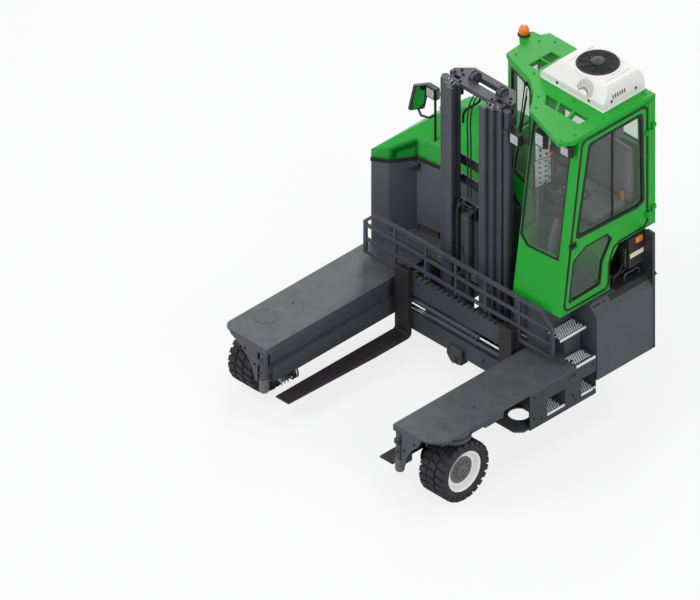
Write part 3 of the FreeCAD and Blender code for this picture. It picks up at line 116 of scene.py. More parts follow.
view_from = Vector((1, -1, 1)).normalized()
camera_data = bpy.data.cameras.new("three_quarter_camera")
camera_data.type = "ORTHO"
camera_data.ortho_scale = 4.698
camera_data.clip_end = 60
camera = bpy.data.objects.new("three_quarter_camera", camera_data)
camera.location = Vector((-0.665, -0.2025, 0.5105)) + view_from * 12
camera.rotation_euler = (-view_from).to_track_quat("-Z", "Y").to_euler()
scene.collection.objects.link(camera)
scene.camera = camera


# ---- painted steel of the frame, arms and mast ----
# Welded mild steel plate, shot-blasted and sprayed with a dark grey satin two-pack paint.
# The film shows a faint orange peel, and dust that lies in patches on the upper faces.
def start_material(name):
    """An empty node material, its tree, and the Object coordinates that its patterns lie on."""
    material = bpy.data.materials.new(name)
    material.use_nodes = True
    tree = material.node_tree
    tree.nodes.clear()
    coords = add(tree, "ShaderNodeTexCoord").outputs["Object"]
    return material, tree, coords


def noise(tree, coords, size_mm, detail=3.0, rough=0.55):
    """Noise whose lumps are about size_mm across."""
    return add(tree, "ShaderNodeTexNoise", {"Vector": coords, "Scale": 1000 / size_mm, "Detail": detail,
        "Roughness": rough}).outputs["Fac"]


def blend_colours(tree, factor, low, high):
    """Mixes two colours by a factor from 0 to 1."""
    return add(tree, "ShaderNodeMix", {0: factor, 6: low, 7: high}, data_type="RGBA").outputs[2]


def spread(tree, value, low, high):
    """Maps the middle of a noise onto low..high."""
    return add(tree, "ShaderNodeMapRange", {"Value": value, "From Min": 0.3, "From Max": 0.7, "To Min": low,
        "To Max": high}).outputs["Result"]


def close_material(tree, colour, roughness, bump, bump_mm, **sockets):
    """Shader and output; bump is a 0..1 height that stands bump_mm proud."""
    inputs = {"Base Color": colour, "Roughness": roughness}
    if bump is not None:
        inputs["Normal"] = add(tree, "ShaderNodeBump", {"Height": bump, "Distance": bump_mm / 1000,
            "Strength": 0.6}).outputs["Normal"]
    inputs.update({name.replace("_", " "): value for name, value in sockets.items()})
    shader = add(tree, "ShaderNodeBsdfPrincipled", inputs)
    add(tree, "ShaderNodeOutputMaterial", {"Surface": shader.outputs[0]})


def painted(name, colour, dusty, peel_mm, rough, peel_height, dust, **sockets):
    """Sprayed paint in two near colours, with orange peel and with dust on the faces that look up."""
    material, tree, coords = start_material(name)
    tint = blend_colours(tree, spread(tree, noise(tree, coords, 320), 0.0, 1.0), linear(colour[0]),
        linear(colour[1]))
    up = add(tree, "ShaderNodeSeparateXYZ",
        {0: add(tree, "ShaderNodeNewGeometry").outputs["Normal"]}).outputs[2]
    patches = spread(tree, noise(tree, coords, 90, 6.0, 0.7), 0.0, 1.0)
    lying = add(tree, "ShaderNodeMath", {0: up, 1: patches}, operation="MULTIPLY", use_clamp=True).outputs[0]
    amount = add(tree, "ShaderNodeMath", {0: lying, 1: dust}, operation="MULTIPLY").outputs[0]
    tint = blend_colours(tree, amount, tint, linear(dusty))
    gloss = spread(tree, noise(tree, coords, 40, 5.0, 0.6), rough - 0.05, rough + 0.07)
    close_material(tree, tint, gloss, noise(tree, coords, peel_mm, 2.0), peel_height, **sockets)
    return material


grey_paint = painted("satin_grey_paint_on_steel", ("40434a", "474a51"), "77746f", 5, 0.46, 0.12, 0.35)
# The rear and step side plates take a darker copy of the frame's grey: painted shade, not a paint of their
# own.
grey_with_painted_shade = painted("satin_grey_paint_darkened_as_painted_shade", ("2e2f35", "35363c"),
    "5e5b57", 5, 0.46, 0.12, 0.3)
mast_paint = painted("satin_dark_grey_paint_on_rolled_steel", ("3a3d45", "41444c"),
    "6a6763", 5, 0.44, 0.12, 0.25)


def dress(names, material):
    """Gives CAD nodes their finish."""
    for name in names:
        data = nodes[name].data
        data.materials.clear()
        data.materials.append(material)


def place_piece(name, mesh, body, material, smooth=35, bevel=0.0):
    """Turns a finished bmesh into a piece at the origin that rides on a body."""
    data = bpy.data.meshes.new(name)
    mesh.to_mesh(data)
    mesh.free()
    piece = bpy.data.objects.new(name, data)
    scene.collection.objects.link(piece)
    data.materials.append(material)
    data.shade_smooth()
    if bevel:
        edge = piece.modifiers.new("rounded_edges", "BEVEL")
        edge.width = bevel
        edge.segments = 2
        edge.limit_method = "ANGLE"
        edge.angle_limit = math.radians(smooth)
    data.set_sharp_from_angle(angle=math.radians(smooth))
    even = piece.modifiers.new("even_shading", "WEIGHTED_NORMAL")
    even.keep_sharp = not bevel
    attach(piece, body)
    return piece


def softened(name, node, body, material, radius, sharp=25, segments=2):
    """A node's own shape with its flat faces joined and its hard edges rounded; it stands for the node."""
    mesh = bmesh.new()
    mesh.from_mesh(nodes[node].data)
    bmesh.ops.remove_doubles(mesh, verts=mesh.verts, dist=1e-5)
    bmesh.ops.dissolve_limit(mesh, angle_limit=math.radians(1), verts=mesh.verts, edges=mesh.edges)
    hard = [e for e in mesh.edges if len(e.link_faces) == 2 and e.calc_face_angle() > math.radians(sharp)]
    bmesh.ops.bevel(mesh, geom=hard, offset=radius, offset_type="OFFSET", segments=segments, profile=0.5,
        affect="EDGES", clamp_overlap=True, material=-1)
    piece = place_piece(name, mesh, body, material, smooth=50)
    piece.modifiers["even_shading"].keep_sharp = False
    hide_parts(node)
    return piece


dress(["chassis_frame", "cab_base", "reach_frame"], grey_paint)
dress(["rear_panel", "step_panel"], grey_with_painted_shade)
softened("left_arm_plates", "left_arm", "chassis", grey_paint, 0.003)
softened("right_arm_plates", "right_arm", "chassis", grey_paint, 0.003)
softened("step_side_plate", "step_panel", "chassis", grey_with_painted_shade, 0.002)
softened("rear_frame_plates", "chassis_frame", "chassis", grey_paint, 0.004)
softened("rear_corner_plate", "rear_panel", "chassis", grey_with_painted_shade, 0.004)
softened("cab_pedestal_plates", "cab_base", "chassis", grey_paint, 0.004)


def block(mesh, low, high, turn=None):
    """A box between two corners, added to a bmesh."""
    low, high = Vector(low), Vector(high)
    place = Matrix.Translation((low + high) / 2)
    if turn is not None:
        place = place @ turn.to_4x4()
    size = high - low
    return bmesh.ops.create_cube(mesh, size=1.0, matrix=place @ Matrix.Diagonal((*size, 1.0)))["verts"]


def around(middle, half):
    """The two corners of a box that reaches half each way from its middle."""
    middle, half = Vector(middle), Vector(half)
    return middle - half, middle + half


def rod(mesh, start, end, radius, sides=20, end_radius=None):
    """A round bar or cone between two points, added to a bmesh."""
    start, end = Vector(start), Vector(end)
    run = end - start
    place = Matrix.Translation((start + end) / 2) @ run.to_track_quat("Z", "Y").to_matrix().to_4x4()
    return bmesh.ops.create_cone(mesh, cap_ends=True, segments=sides, radius1=radius,
        radius2=radius if end_radius is None else end_radius, depth=run.length, matrix=place)["verts"]


# Round steering covers let into the two decks over the kingpins: 176 mm discs of the same plate,
# each held by eight countersunk screws in a ring.
cover_radius, screw_circle, screw_count = 0.088, 0.072, 8
kingpin_out, wheel_line, deck_top = 0.8765, -0.788, 0.563
covers = bmesh.new()
for side in (-1, 1):
    middle = Vector((side * kingpin_out, wheel_line, deck_top))
    rod(covers, middle + Vector((0, 0, -0.002)), middle + Vector((0, 0, 0.0022)), cover_radius, 48)
    for step in range(screw_count):
        angle = math.tau * step / screw_count
        spot = middle + Vector((math.cos(angle), math.sin(angle), 0)) * screw_circle
        rod(covers, spot + Vector((0, 0, 0.0015)), spot + Vector((0, 0, 0.0045)), 0.0075, 6)
place_piece("deck_steering_covers", covers, "chassis", grey_paint, bevel=0.0008)

# Hex bolts with washers on the arms' outer plates, decks and noses, painted over with the frame.
bolts = bmesh.new()


def bolt(mesh, spot, out, radius=0.009):
    """A washer and hex head standing on a face, out along a unit direction."""
    spot, out = Vector(spot), Vector(out)
    rod(mesh, spot - out * 0.001, spot + out * 0.002, radius * 1.5, 16)
    rod(mesh, spot + out * 0.002, spot + out * (0.002 + radius * 0.9), radius, 6)


arm_side = 1.015
for y in (-0.055, 0.205, 0.262, 0.430):
    for z in (0.30, 0.505):
        bolt(bolts, (arm_side, y, z), (1, 0, 0), 0.008)
for x in (-0.86, 0.86):
    bolt(bolts, (x, -0.55, 0.5625), (0, 0, 1), 0.006)
for side in (-1, 1):
    for z in (0.442, 0.352):
        bolt(bolts, (side * 0.650, -1.066 if z < 0.4 else -1.078, z), (0, -1, 0), 0.009)


def surface(name, colours, patches, gloss_patches, gloss, grain=None, bump_mm=0, **sockets):
    """A finish between two colours and two roughnesses; patches and grain are sizes in mm and detail."""
    material, tree, coords = start_material(name)
    low, high = (linear(code) for code in colours)
    tint = blend_colours(tree, spread(tree, noise(tree, coords, *patches), 0, 1), low, high)
    roughness = spread(tree, noise(tree, coords, *gloss_patches), *gloss)
    close_material(tree, tint, roughness, noise(tree, coords, *grain) if grain else None, bump_mm, **sockets)
    return material


# Electro-zinc plate: a bright, slightly blue metal, dulled in patches a few millimetres across.
zinc = surface("zinc_plated_bolt_steel", ("9da1a6", "c3c7cb"), (8,), (6,), (0.28, 0.5), Metallic=1.0)
place_piece("frame_bolts", bolts, "chassis", mast_paint, bevel=0.0006)


# ---- step treads ----
# Pressed aluminium treads with rows of raised studs and a lip worn bright: two in the side pockets, one
# on the deck and one on the cab's riser. The upper two are bolted down.
def rounded_block(mesh, low, high, radius, segments=3, turn=None):
    """A box between two corners with its twelve edges rounded."""
    corners = block(mesh, low, high, turn)
    edges = list(dict.fromkeys(edge for corner in corners for edge in corner.link_edges))
    bmesh.ops.bevel(mesh, geom=edges, offset=radius, offset_type="OFFSET", segments=segments, profile=0.5,
        affect="EDGES", clamp_overlap=True, material=-1)


material, tree, coords = start_material("pressed_mill_finish_aluminium")
# Bare rolled sheet gone dark between the studs, with scuffs left by boots a few centimetres across.
scuffs = spread(tree, noise(tree, coords, 25, 6.0, 0.7), 0.0, 1.0)
close_material(tree, blend_colours(tree, scuffs, linear("44474a"), linear("6a6e71")),
    spread(tree, noise(tree, coords, 12), 0.34, 0.55), noise(tree, coords, 3), 0.05, Metallic=0.45)
aluminium = material
# The same sheet where boots have polished it: nearly white, with fine scratches.
polished = surface("bright_worn_aluminium_edges", ("dfe2e4", "f4f6f7"), (8, 5.0), (6,), (0.3, 0.5), (2,),
    0.04, Metallic=0.15)

treads = bmesh.new()
studs = bmesh.new()
tread_bolts = bmesh.new()
riser_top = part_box("step_treads")[1].z
pocket_floor, deck_tread_top = 0.318, 0.569
stud_pitch_across, stud_pitch_along = 0.0165, 0.019
tread_plates = [((0.875, -0.013), (arm_side, 0.158), pocket_floor),
    ((0.875, 0.310), (arm_side, 0.450), pocket_floor),
    ((0.880, 0.266), (arm_side, 0.450), deck_tread_top),
    ((0.785, 0.201), (0.925, 0.450), riser_top)]
for (x0, y0), (x1, y1), top in tread_plates:
    rounded_block(treads, (x0, y0, top - 0.008), (x1, y1, top - 0.001), 0.0025, 2)
    rounded_block(studs, (x1 - 0.006, y0 + 0.002, top - 0.018),
        (x1 + 0.0015, y1 - 0.002, top + 0.001), 0.002, 2)
    across_count = int((x1 - x0 - 0.02) / stud_pitch_across)
    along_count = int((y1 - y0 - 0.02) / stud_pitch_along)
    for i in range(across_count):
        for j in range(along_count):
            shift = 0.5 if i % 2 else 0.0
            x = x0 + 0.012 + stud_pitch_across * (i + 0.5)
            y = y0 + 0.01 + stud_pitch_along * (j + 0.25 + shift)
            if x > x1 - 0.012 or y > y1 - 0.008:
                continue
            rod(studs, (x, y, top - 0.0015), (x, y, top + 0.0024), 0.0068, 8, 0.0052)
    if top > pocket_floor:
        for y in (y0 + 0.022, y1 - 0.022):
            bolt(tread_bolts, ((x0 + x1) / 2, y, top + 0.0004), (0, 0, 1), 0.0055)
place_piece("tread_studs_and_lips", studs, "chassis", polished, smooth=40)
tread_piece = place_piece("pressed_step_treads", treads, "chassis", aluminium, smooth=40)
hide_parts("step_treads")
# Blackened steel: near-black, oily and faintly rough.
black_steel = surface("black_oxide_bolt_steel", ("1b1b1d", "2c2b2c"), (9,), (5,), (0.3, 0.5), Metallic=0.7)
place_piece("tread_bolts", tread_bolts, "chassis", black_steel, bevel=0.0005)

# Four button-head screws hold the step panel to the arm beside the pocket mouths.
panel_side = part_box("step_panel")[1].x
screws = bmesh.new()
for y, z in ((-0.130, 0.505), (-0.130, 0.335), (0.235, 0.505), (0.235, 0.350)):
    rod(screws, (panel_side - 0.001, y, z), (panel_side + 0.004, y, z), 0.011, 20, 0.008)
place_piece("step_panel_screws", screws, "chassis", black_steel, bevel=0.0008)


# ---- fuel tank ----
# Folded and welded tank of 4 mm sheet with a bevelled shoulder, in the frame's grey. Its front top
# carries a bolted cover and a filler cap; a rubber mat, a grab rod and two lines lie behind them.
softened("fuel_tank_shell", "fuel_tank", "chassis", grey_paint, 0.005)
tank_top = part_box("fuel_tank")[1].z
cover = bmesh.new()
rounded_block(cover, (0.745, 0.500, tank_top - 0.001), (0.935, 0.700, tank_top + 0.007), 0.003)
for y in (0.522, 0.678):
    for x in (0.765, 0.915):
        bolt(cover, (x, y, tank_top + 0.007), (0, 0, 1), 0.006)
place_piece("tank_top_cover", cover, "chassis", mast_paint, bevel=0.001)


def lathe(mesh, centre, axis, profile, steps=40, closed=False):
    """Spins a profile of (radius, along) points once round an axis; a closed profile is a ring."""
    centre, axis = Vector(centre), Vector(axis).normalized()
    side = axis.orthogonal().normalized()
    points = [mesh.verts.new(centre + axis * along + side * radius) for radius, along in profile]
    pairs = list(zip(points, points[1:]))
    if closed:
        pairs.append((points[-1], points[0]))
    lines = [mesh.edges.new(pair) for pair in pairs]
    bmesh.ops.spin(mesh, geom=points + lines, cent=centre, axis=axis, angle=math.tau, steps=steps,
        use_merge=True, use_duplicate=False)
    near_axis = [v for v in mesh.verts if (v.co - centre).cross(axis).length < 1e-5]
    bmesh.ops.remove_doubles(mesh, verts=near_axis, dist=1e-5)


def tidy_normals(mesh):
    """Turns every face outward."""
    bmesh.ops.recalc_face_normals(mesh, faces=mesh.faces)


filler = bmesh.new()
lathe(filler, (0.800, 0.560, tank_top + 0.004), (0, 0, 1), [(0, 0.034), (0.020, 0.034), (0.026, 0.030),
    (0.029, 0.022), (0.029, 0.010), (0.033, 0.008), (0.034, 0), (0, 0)], 28)
for step in range(14):
    angle = math.tau * step / 14
    spot = Vector((0.800 + math.cos(angle) * 0.029, 0.560 + math.sin(angle) * 0.029, tank_top + 0.020))
    rod(filler, spot - Vector((0, 0, 0.006)), spot + Vector((0, 0, 0.006)), 0.0022, 6)
tidy_normals(filler)
# Moulded black ABS with a fine spark-eroded grain of about a millimetre.
black_plastic = surface("grained_black_plastic", ("1d1d1f", "28282a"), (60,), (30,),
    (0.5, 0.68), (0.9, 2.0), 0.08)
top_mat = bmesh.new()
rounded_block(top_mat, (0.705, 0.710, tank_top), (0.947, 1.070, tank_top + 0.003), 0.001, 2)
slope = Matrix.Rotation(math.radians(45), 3, "Y")
middle = Vector((0.9625, 0.850, tank_top - 0.015))
block(top_mat, *around(middle, (0.022, 0.220, 0.0018)), slope)
tidy_normals(top_mat)
place_piece("tank_top_rubber_mat", top_mat, "chassis", black_plastic, bevel=0.0008)
place_piece("tank_filler_cap", filler, "chassis", black_plastic)

slot_shade_strips = bmesh.new()
for y0, y1 in ((0.475, 0.545), (0.560, 0.590)):
    # A thin black strip lies flush in each drain slot pressed along the tank's shoulder: painted shade for
    # the slot's dark inside.
    middle = Vector((0.962, (y0 + y1) / 2, tank_top - 0.016))
    rounded_block(slot_shade_strips, *around(middle, (0.007, (y1 - y0) / 2, 0.0015)), 0.0012, 2, slope)
place_piece("tank_shoulder_slot_painted_shade", slot_shade_strips, "chassis", black_plastic)


def hose(name, points, radius, body, material):
    """A pipe, rod or hose along smooth points, carried by one body."""
    curve = bpy.data.curves.new(name, "CURVE")
    curve.dimensions = "3D"
    curve.bevel_depth = radius
    curve.bevel_resolution = 3
    curve.resolution_u = 8
    curve.use_fill_caps = True
    line = curve.splines.new("BEZIER")
    line.bezier_points.add(len(points) - 1)
    for knot, point in zip(line.bezier_points, points):
        knot.co = point
        knot.handle_left_type = knot.handle_right_type = "AUTO"
    piece = bpy.data.objects.new(name, curve)
    scene.collection.objects.link(piece)
    curve.materials.append(material)
    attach(piece, body)
    return piece


hose("tank_grab_rod", [(0.905, 0.830, 0.938), (0.905, 0.830, 0.972), (0.905, 0.845, 0.985),
    (0.905, 0.900, 0.985), (0.905, 0.955, 0.985), (0.905, 0.968, 0.972), (0.905, 0.968, 0.938)], 0.006,
    "chassis", grey_paint)
pipe_z = tank_top + 0.045
hose("fuel_line", [(0.86, 0.730, pipe_z), (0.86, 0.800, pipe_z), (0.86, 0.880, pipe_z + 0.005),
    (0.84, 0.930, pipe_z + 0.06), (0.80, 0.940, pipe_z + 0.12)], 0.014, "chassis", black_plastic)
hose("breather_line", [(0.89, 0.740, tank_top), (0.89, 0.745, pipe_z), (0.885, 0.800, pipe_z + 0.03),
    (0.87, 0.845, pipe_z + 0.06)], 0.007, "chassis", black_plastic)


# ---- service box behind the door's foot ----
# Black moulded housing for filters and fuses, strapped to the rear plate by a riveted zinc bracket,
# with a blank cream label along its side and an amber side marker on top.
case_low, case_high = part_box("service_box")
case = bmesh.new()
rounded_block(case, case_low, case_high, 0.008)
for z in (case_low.z + 0.05, case_high.z - 0.045):
    rounded_block(case, (case_low.x - 0.001, case_low.y + 0.012, z),
        (case_high.x + 0.002, case_high.y - 0.012, z + 0.007), 0.002, 2)
case_piece = place_piece("service_box_case", case, "chassis", black_plastic)
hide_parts("service_box")
strap = bmesh.new()
strap_x = case_low.x + 0.036
rounded_block(strap, (strap_x, case_low.y - 0.008, case_low.z + 0.012),
    (strap_x + 0.034, case_low.y + 0.001, case_low.z + 0.150), 0.002, 2)
rounded_block(strap, (strap_x, case_low.y - 0.008, case_low.z + 0.150),
    (strap_x + 0.034, case_low.y + 0.020, case_low.z + 0.156), 0.002, 2)
place_piece("service_box_bracket", strap, "chassis", zinc)
rivets = bmesh.new()
for step in range(6):
    z = case_low.z + 0.030 + step * 0.020
    rod(rivets, (strap_x + 0.017, case_low.y - 0.0078, z),
        (strap_x + 0.017, case_low.y - 0.0088, z), 0.005, 16)
place_piece("service_box_bracket_rivets", rivets, "chassis", black_steel)
label = bmesh.new()
rounded_block(label, (case_high.x - 0.0005, case_low.y + 0.008, case_low.z + 0.085),
    (case_high.x + 0.0015, case_high.y - 0.006, case_low.z + 0.122), 0.0006, 2)
# Printed film without print: a warm off-white, semi-gloss, slightly yellowed in patches.
label_film = surface("cream_label_film", ("d9d2b0", "e7e2c9"), (50,), (20,), (0.35, 0.5))
place_piece("service_box_label", label, "chassis", label_film)
marker = bmesh.new()
rounded_block(marker, (case_high.x - 0.012, case_low.y + 0.060, case_high.z - 0.055),
    (case_high.x + 0.010, case_low.y + 0.125, case_high.z - 0.010), 0.008)
material, tree, coords = start_material("amber_lens_plastic")
# Clear amber acrylic over a bright cup, with fine moulded ribs, drawn 4 mm apart so that they show.
rings = add(tree, "ShaderNodeTexWave", {"Vector": coords, "Scale": 80.0, "Distortion": 0.0},
    bands_direction="Z")
close_material(tree, blend_colours(tree, spread(tree, noise(tree, coords, 30), 0, 1), linear("e0701a"),
    linear("ee8426")), spread(tree, noise(tree, coords, 15), 0.12, 0.2), rings.outputs["Fac"], 0.3,
    Coat_Weight=0.6)
amber = material
place_piece("service_box_marker", marker, "chassis", amber)

# The corner post behind the tank has a rounded painted cap that stands beside the cab's rear.
post_low, post_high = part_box("rear_panel")
cap = bmesh.new()
rounded_block(cap, (0.947, post_low.y - 0.002, post_high.z - 0.030),
    (post_high.x, post_high.y, post_high.z + 0.0005), 0.010)
place_piece("rear_post_cap", cap, "chassis", mast_paint)


# ---- counterweight and engine ----
# Grey-iron castings left rough from the sand mould under a thin black primer. The counterweight hangs
# at the rear and the engine stands behind the mast, under the lid.
material, tree, coords = start_material("sand_cast_iron_in_black_primer")
grit = noise(tree, coords, 4, 5.0, 0.7)
close_material(tree, blend_colours(tree, spread(tree, noise(tree, coords, 120), 0, 1), linear("232427"),
    linear("2f3033")), spread(tree, grit, 0.55, 0.75), grit, 0.5)
cast_iron = material
dress(["engine_block", "left_knuckle", "right_knuckle", "rear_knuckle"], cast_iron)
softened("counterweight_casting", "counterweight", "chassis", cast_iron, 0.018, segments=3)
softened("engine_and_pump_block", "engine_block", "chassis", cast_iron, 0.012)
# On the engine: a pressed rocker cover with its bolts, an air cleaner and its duct, and a radiator.
engine_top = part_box("engine_block")[1].z
rocker = bmesh.new()
rounded_block(rocker, (-0.800, 0.735, engine_top - 0.004), (-0.460, 0.875, engine_top + 0.052), 0.016, 4)
for x in (-0.770, -0.630, -0.490):
    bolt(rocker, (x, 0.805, engine_top + 0.052), (0, 0, 1), 0.007)
rod(rocker, (-0.560, 0.770, engine_top + 0.050), (-0.560, 0.770, engine_top + 0.074), 0.018, 20)
tidy_normals(rocker)
place_piece("engine_rocker_cover", rocker, "chassis", mast_paint, smooth=40)
cleaner = bmesh.new()
lathe(cleaner, (-0.700, 0.925, engine_top + 0.058), (1, 0, 0), [(0, 0), (0.050, 0), (0.056, 0.008),
    (0.056, 0.018), (0.052, 0.022), (0.052, 0.250), (0.046, 0.262), (0, 0.262)])
rounded_block(cleaner, (-0.268, 0.650, 0.760), (-0.212, 0.970, 1.165), 0.008)
for fin in range(18):
    block(cleaner, (-0.2725, 0.664, 0.780 + fin * 0.021), (-0.2665, 0.956, 0.786 + fin * 0.021))
tidy_normals(cleaner)
place_piece("air_cleaner_and_radiator", cleaner, "chassis", black_plastic, smooth=40)


# ---- engine hood ----
# Grey sheet-steel walls under a moulded green lid. A black rubber gasket runs under the lid, the
# front has two black louvred vents at the deck, and a rubber hold-down latch hangs at the front corner.
# The hood walls take a lighter copy of the frame's grey: painted light against the shade that the mast casts
# on them.
hood_grey_lightened_as_painted_light = painted("satin_grey_paint_lightened_as_painted_light", ("50535a", "585b62"), "77746f", 5, 0.42, 0.12, 0.2)
softened("hood_wall_panels", "hood_body", "chassis", hood_grey_lightened_as_painted_light, 0.006)
dress(["hood_body"], hood_grey_lightened_as_painted_light)
body_low, body_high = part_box("hood_body")
seam = 1.235
plan = [(-1.015, 0.348), (-0.910, 0.413), (-0.806, 0.574), (-0.614, 0.601), (-0.132, 0.601), (-0.132, 1.027),
    (-1.015, 1.027)]


def plan_ring(mesh, points, out, in_by, z0, z1):
    """A strip of wall that follows a plan outline, from out beyond it to in_by inside it."""
    def moved(amount):
        ring = []
        count = len(points)
        for i, point in enumerate(points):
            here, before, after = Vector(point), Vector(points[i - 1]), Vector(points[(i + 1) % count])
            n1 = Vector(((here - before).y, -(here - before).x)).normalized()
            n2 = Vector(((after - here).y, -(after - here).x)).normalized()
            mid = (n1 + n2).normalized()
            ring.append(here + mid * amount / max(mid.dot(n1), 0.3))
        return ring
    loops = [[mesh.verts.new((p.x, p.y, z)) for p in moved(amount)]
        for amount, z in ((out, z0), (out, z1), (-in_by, z1), (-in_by, z0))]
    for a, b in zip(loops, loops[1:] + loops[:1]):
        for i in range(len(points)):
            j = (i + 1) % len(points)
            mesh.faces.new((a[i], a[j], b[j], b[i]))
    tidy_normals(mesh)


gasket = bmesh.new()
plan_ring(gasket, plan, 0.0035, 0.010, seam - 0.030, seam - 0.0005)
# EPDM extrusion: matt black with a slight bloom and a fine drag texture.
rubber = surface("black_extruded_rubber", ("161617", "232324"), (45,), (25,), (0.6, 0.8), (1.2, 2.0), 0.06)
place_piece("hood_lid_gasket", gasket, "chassis", rubber, bevel=0.002)

slat_heights = [0.575 + 0.0135 * step for step in range(8)]
vent = bmesh.new()
vent_start, vent_end = Vector((-0.795, 0.5755, 0)), Vector((-0.614, 0.601, 0))
along = (vent_end - vent_start).normalized()
out = Vector((along.y, -along.x, 0))
turn = along.to_track_quat("X", "Z").to_matrix()
length = (vent_end - vent_start).length
for z in slat_heights:
    middle = (vent_start + vent_end) / 2 + out * 0.003 + Vector((0, 0, z))
    block(vent, *around(middle, (length / 2 - 0.012, 0.004, 0.0035)),
        turn @ Matrix.Rotation(math.radians(-35), 3, "X"))
for z in (0.5665, 0.681):
    middle = (vent_start + vent_end) / 2 + out * 0.003 + Vector((0, 0, z))
    block(vent, *around(middle, (length / 2, 0.005, 0.004)), turn)
for end in (vent_start + along * 0.006, vent_end - along * 0.006):
    middle = end + out * 0.003 + Vector((0, 0, 0.624))
    block(vent, *around(middle, (0.006, 0.005, 0.061)), turn)
middle = (vent_start + vent_end) / 2 + out * 0.0008 + Vector((0, 0, 0.624))
block(vent, *around(middle, (length / 2 - 0.004, 0.0008, 0.058)), turn)
place_piece("hood_front_vent", vent, "chassis", black_plastic, bevel=0.0008)
second_vent = bmesh.new()
for z in slat_heights:
    block(second_vent, (-0.600, 0.5925, z - 0.0035), (-0.330, 0.6005, z + 0.0035),
        Matrix.Rotation(math.radians(-35), 3, "X"))
block(second_vent, (-0.606, 0.5955, 0.565), (-0.324, 0.6015, 0.573))
block(second_vent, (-0.606, 0.5955, 0.677), (-0.324, 0.6015, 0.685))
place_piece("hood_inner_vent", second_vent, "chassis", black_plastic, bevel=0.0008)

latch = bmesh.new()
corner = Vector((-0.806, 0.574, 0))
out = Vector((0.35, -1, 0)).normalized()
turn = out.to_track_quat("-Y", "Z").to_matrix()
spot = corner + out * 0.018 + Vector((-0.012, 0, 1.165))
rounded_block(latch, spot - Vector((0.034, 0.016, 0.030)),
    spot + Vector((0.034, 0.016, 0.030)), 0.006, 3, turn)
rod(latch, spot + out * 0.010, spot + out * 0.046, 0.026, 24, 0.023)
side = out.cross(Vector((0, 0, 1)))
rod(latch, spot + side * 0.03 + Vector((0, 0, -0.02)),
    spot + side * 0.075 + Vector((0, 0, -0.075)), 0.010, 14)
place_piece("hood_latch_body", latch, "chassis", mast_paint, bevel=0.0015)
latch_face = bmesh.new()
rod(latch_face, spot + out * 0.044, spot + out * 0.048, 0.020, 24)
rod(latch_face, spot + side * 0.060 + Vector((0, 0, -0.052)),
    spot + side * 0.082 + Vector((0, 0, -0.083)), 0.013, 14)
place_piece("hood_latch_rubber", latch_face, "chassis", rubber, bevel=0.001)

# The lid is moulded in one shell and sprayed with gloss green; its edges are generously rounded.
# Its green is a lighter copy of the cab's green: a painted reflection of the sky on the lid.
lid_green_with_painted_reflection = painted("gloss_green_lid_paint_lightened_as_painted_reflection", ("1ca534", "26aa3c"), "5f9a4c", 6, 0.34, 0.05, 0.08,
    Specular_IOR_Level=0.3)
bump = next(node for node in lid_green_with_painted_reflection.node_tree.nodes if node.type == "BUMP")
soft_edge = lid_green_with_painted_reflection.node_tree.nodes.new("ShaderNodeBevel")
soft_edge.samples = 6
soft_edge.inputs["Radius"].default_value = 0.045
lid_green_with_painted_reflection.node_tree.links.new(soft_edge.outputs[0], bump.inputs["Normal"])
softened("hood_lid_shell", "hood_lid", "hood", lid_green_with_painted_reflection, 0.055, sharp=16, segments=7)


# ---- rear and left side fittings ----
# Louvred air vents on the hood's left and rear walls, two pairs of tail lamps and a bolted towing jaw
# with its drop pin on the counterweight.
louvres = bmesh.new()
for slat in range(9):
    z = 0.800 + slat * 0.032
    rounded_block(louvres, (body_low.x - 0.005, 0.560, z), (body_low.x + 0.001, 0.920, z + 0.019), 0.0025, 2)
    rounded_block(louvres, (-0.860, body_high.y - 0.001, z), (-0.400, 1.032, z + 0.019), 0.0025, 2)
tidy_normals(louvres)
place_piece("hood_wall_louvres", louvres, "chassis", black_plastic)
weight_low, weight_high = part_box("counterweight")
tail = weight_high.y
tail_cases = bmesh.new()
tail_lenses = bmesh.new()
for x in (weight_low.x + 0.090, weight_high.x - 0.090):
    rounded_block(tail_cases, (x - 0.060, tail - 0.001, 1.130), (x + 0.060, tail + 0.016, 1.200), 0.005)
    for start in (x - 0.052, x + 0.003):
        rounded_block(tail_lenses, (start, tail + 0.012, 1.138), (start + 0.049, tail + 0.022, 1.192), 0.004)
place_piece("tail_lamp_cases", tail_cases, "chassis", black_plastic)
place_piece("tail_lamp_lenses", tail_lenses, "chassis", amber)
jaw = bmesh.new()
middle_x = (weight_low.x + weight_high.x) / 2
for z in (0.790, 0.880):
    rounded_block(jaw, (middle_x - 0.055, tail - 0.001, z),
        (middle_x + 0.055, tail + 0.028, z + 0.018), 0.006)
rounded_block(jaw, (middle_x - 0.075, tail - 0.001, 0.765), (middle_x + 0.075, tail + 0.006, 0.925), 0.004)
rod(jaw, (middle_x, tail + 0.018, 0.780), (middle_x, tail + 0.018, 0.930), 0.007, 20)
for x in (middle_x - 0.062, middle_x + 0.062):
    for z in (0.780, 0.910):
        bolt(jaw, (x, tail + 0.006, z), (0, 1, 0), 0.008)
tidy_normals(jaw)
place_piece("towing_jaw", jaw, "chassis", black_steel, bevel=0.0008)


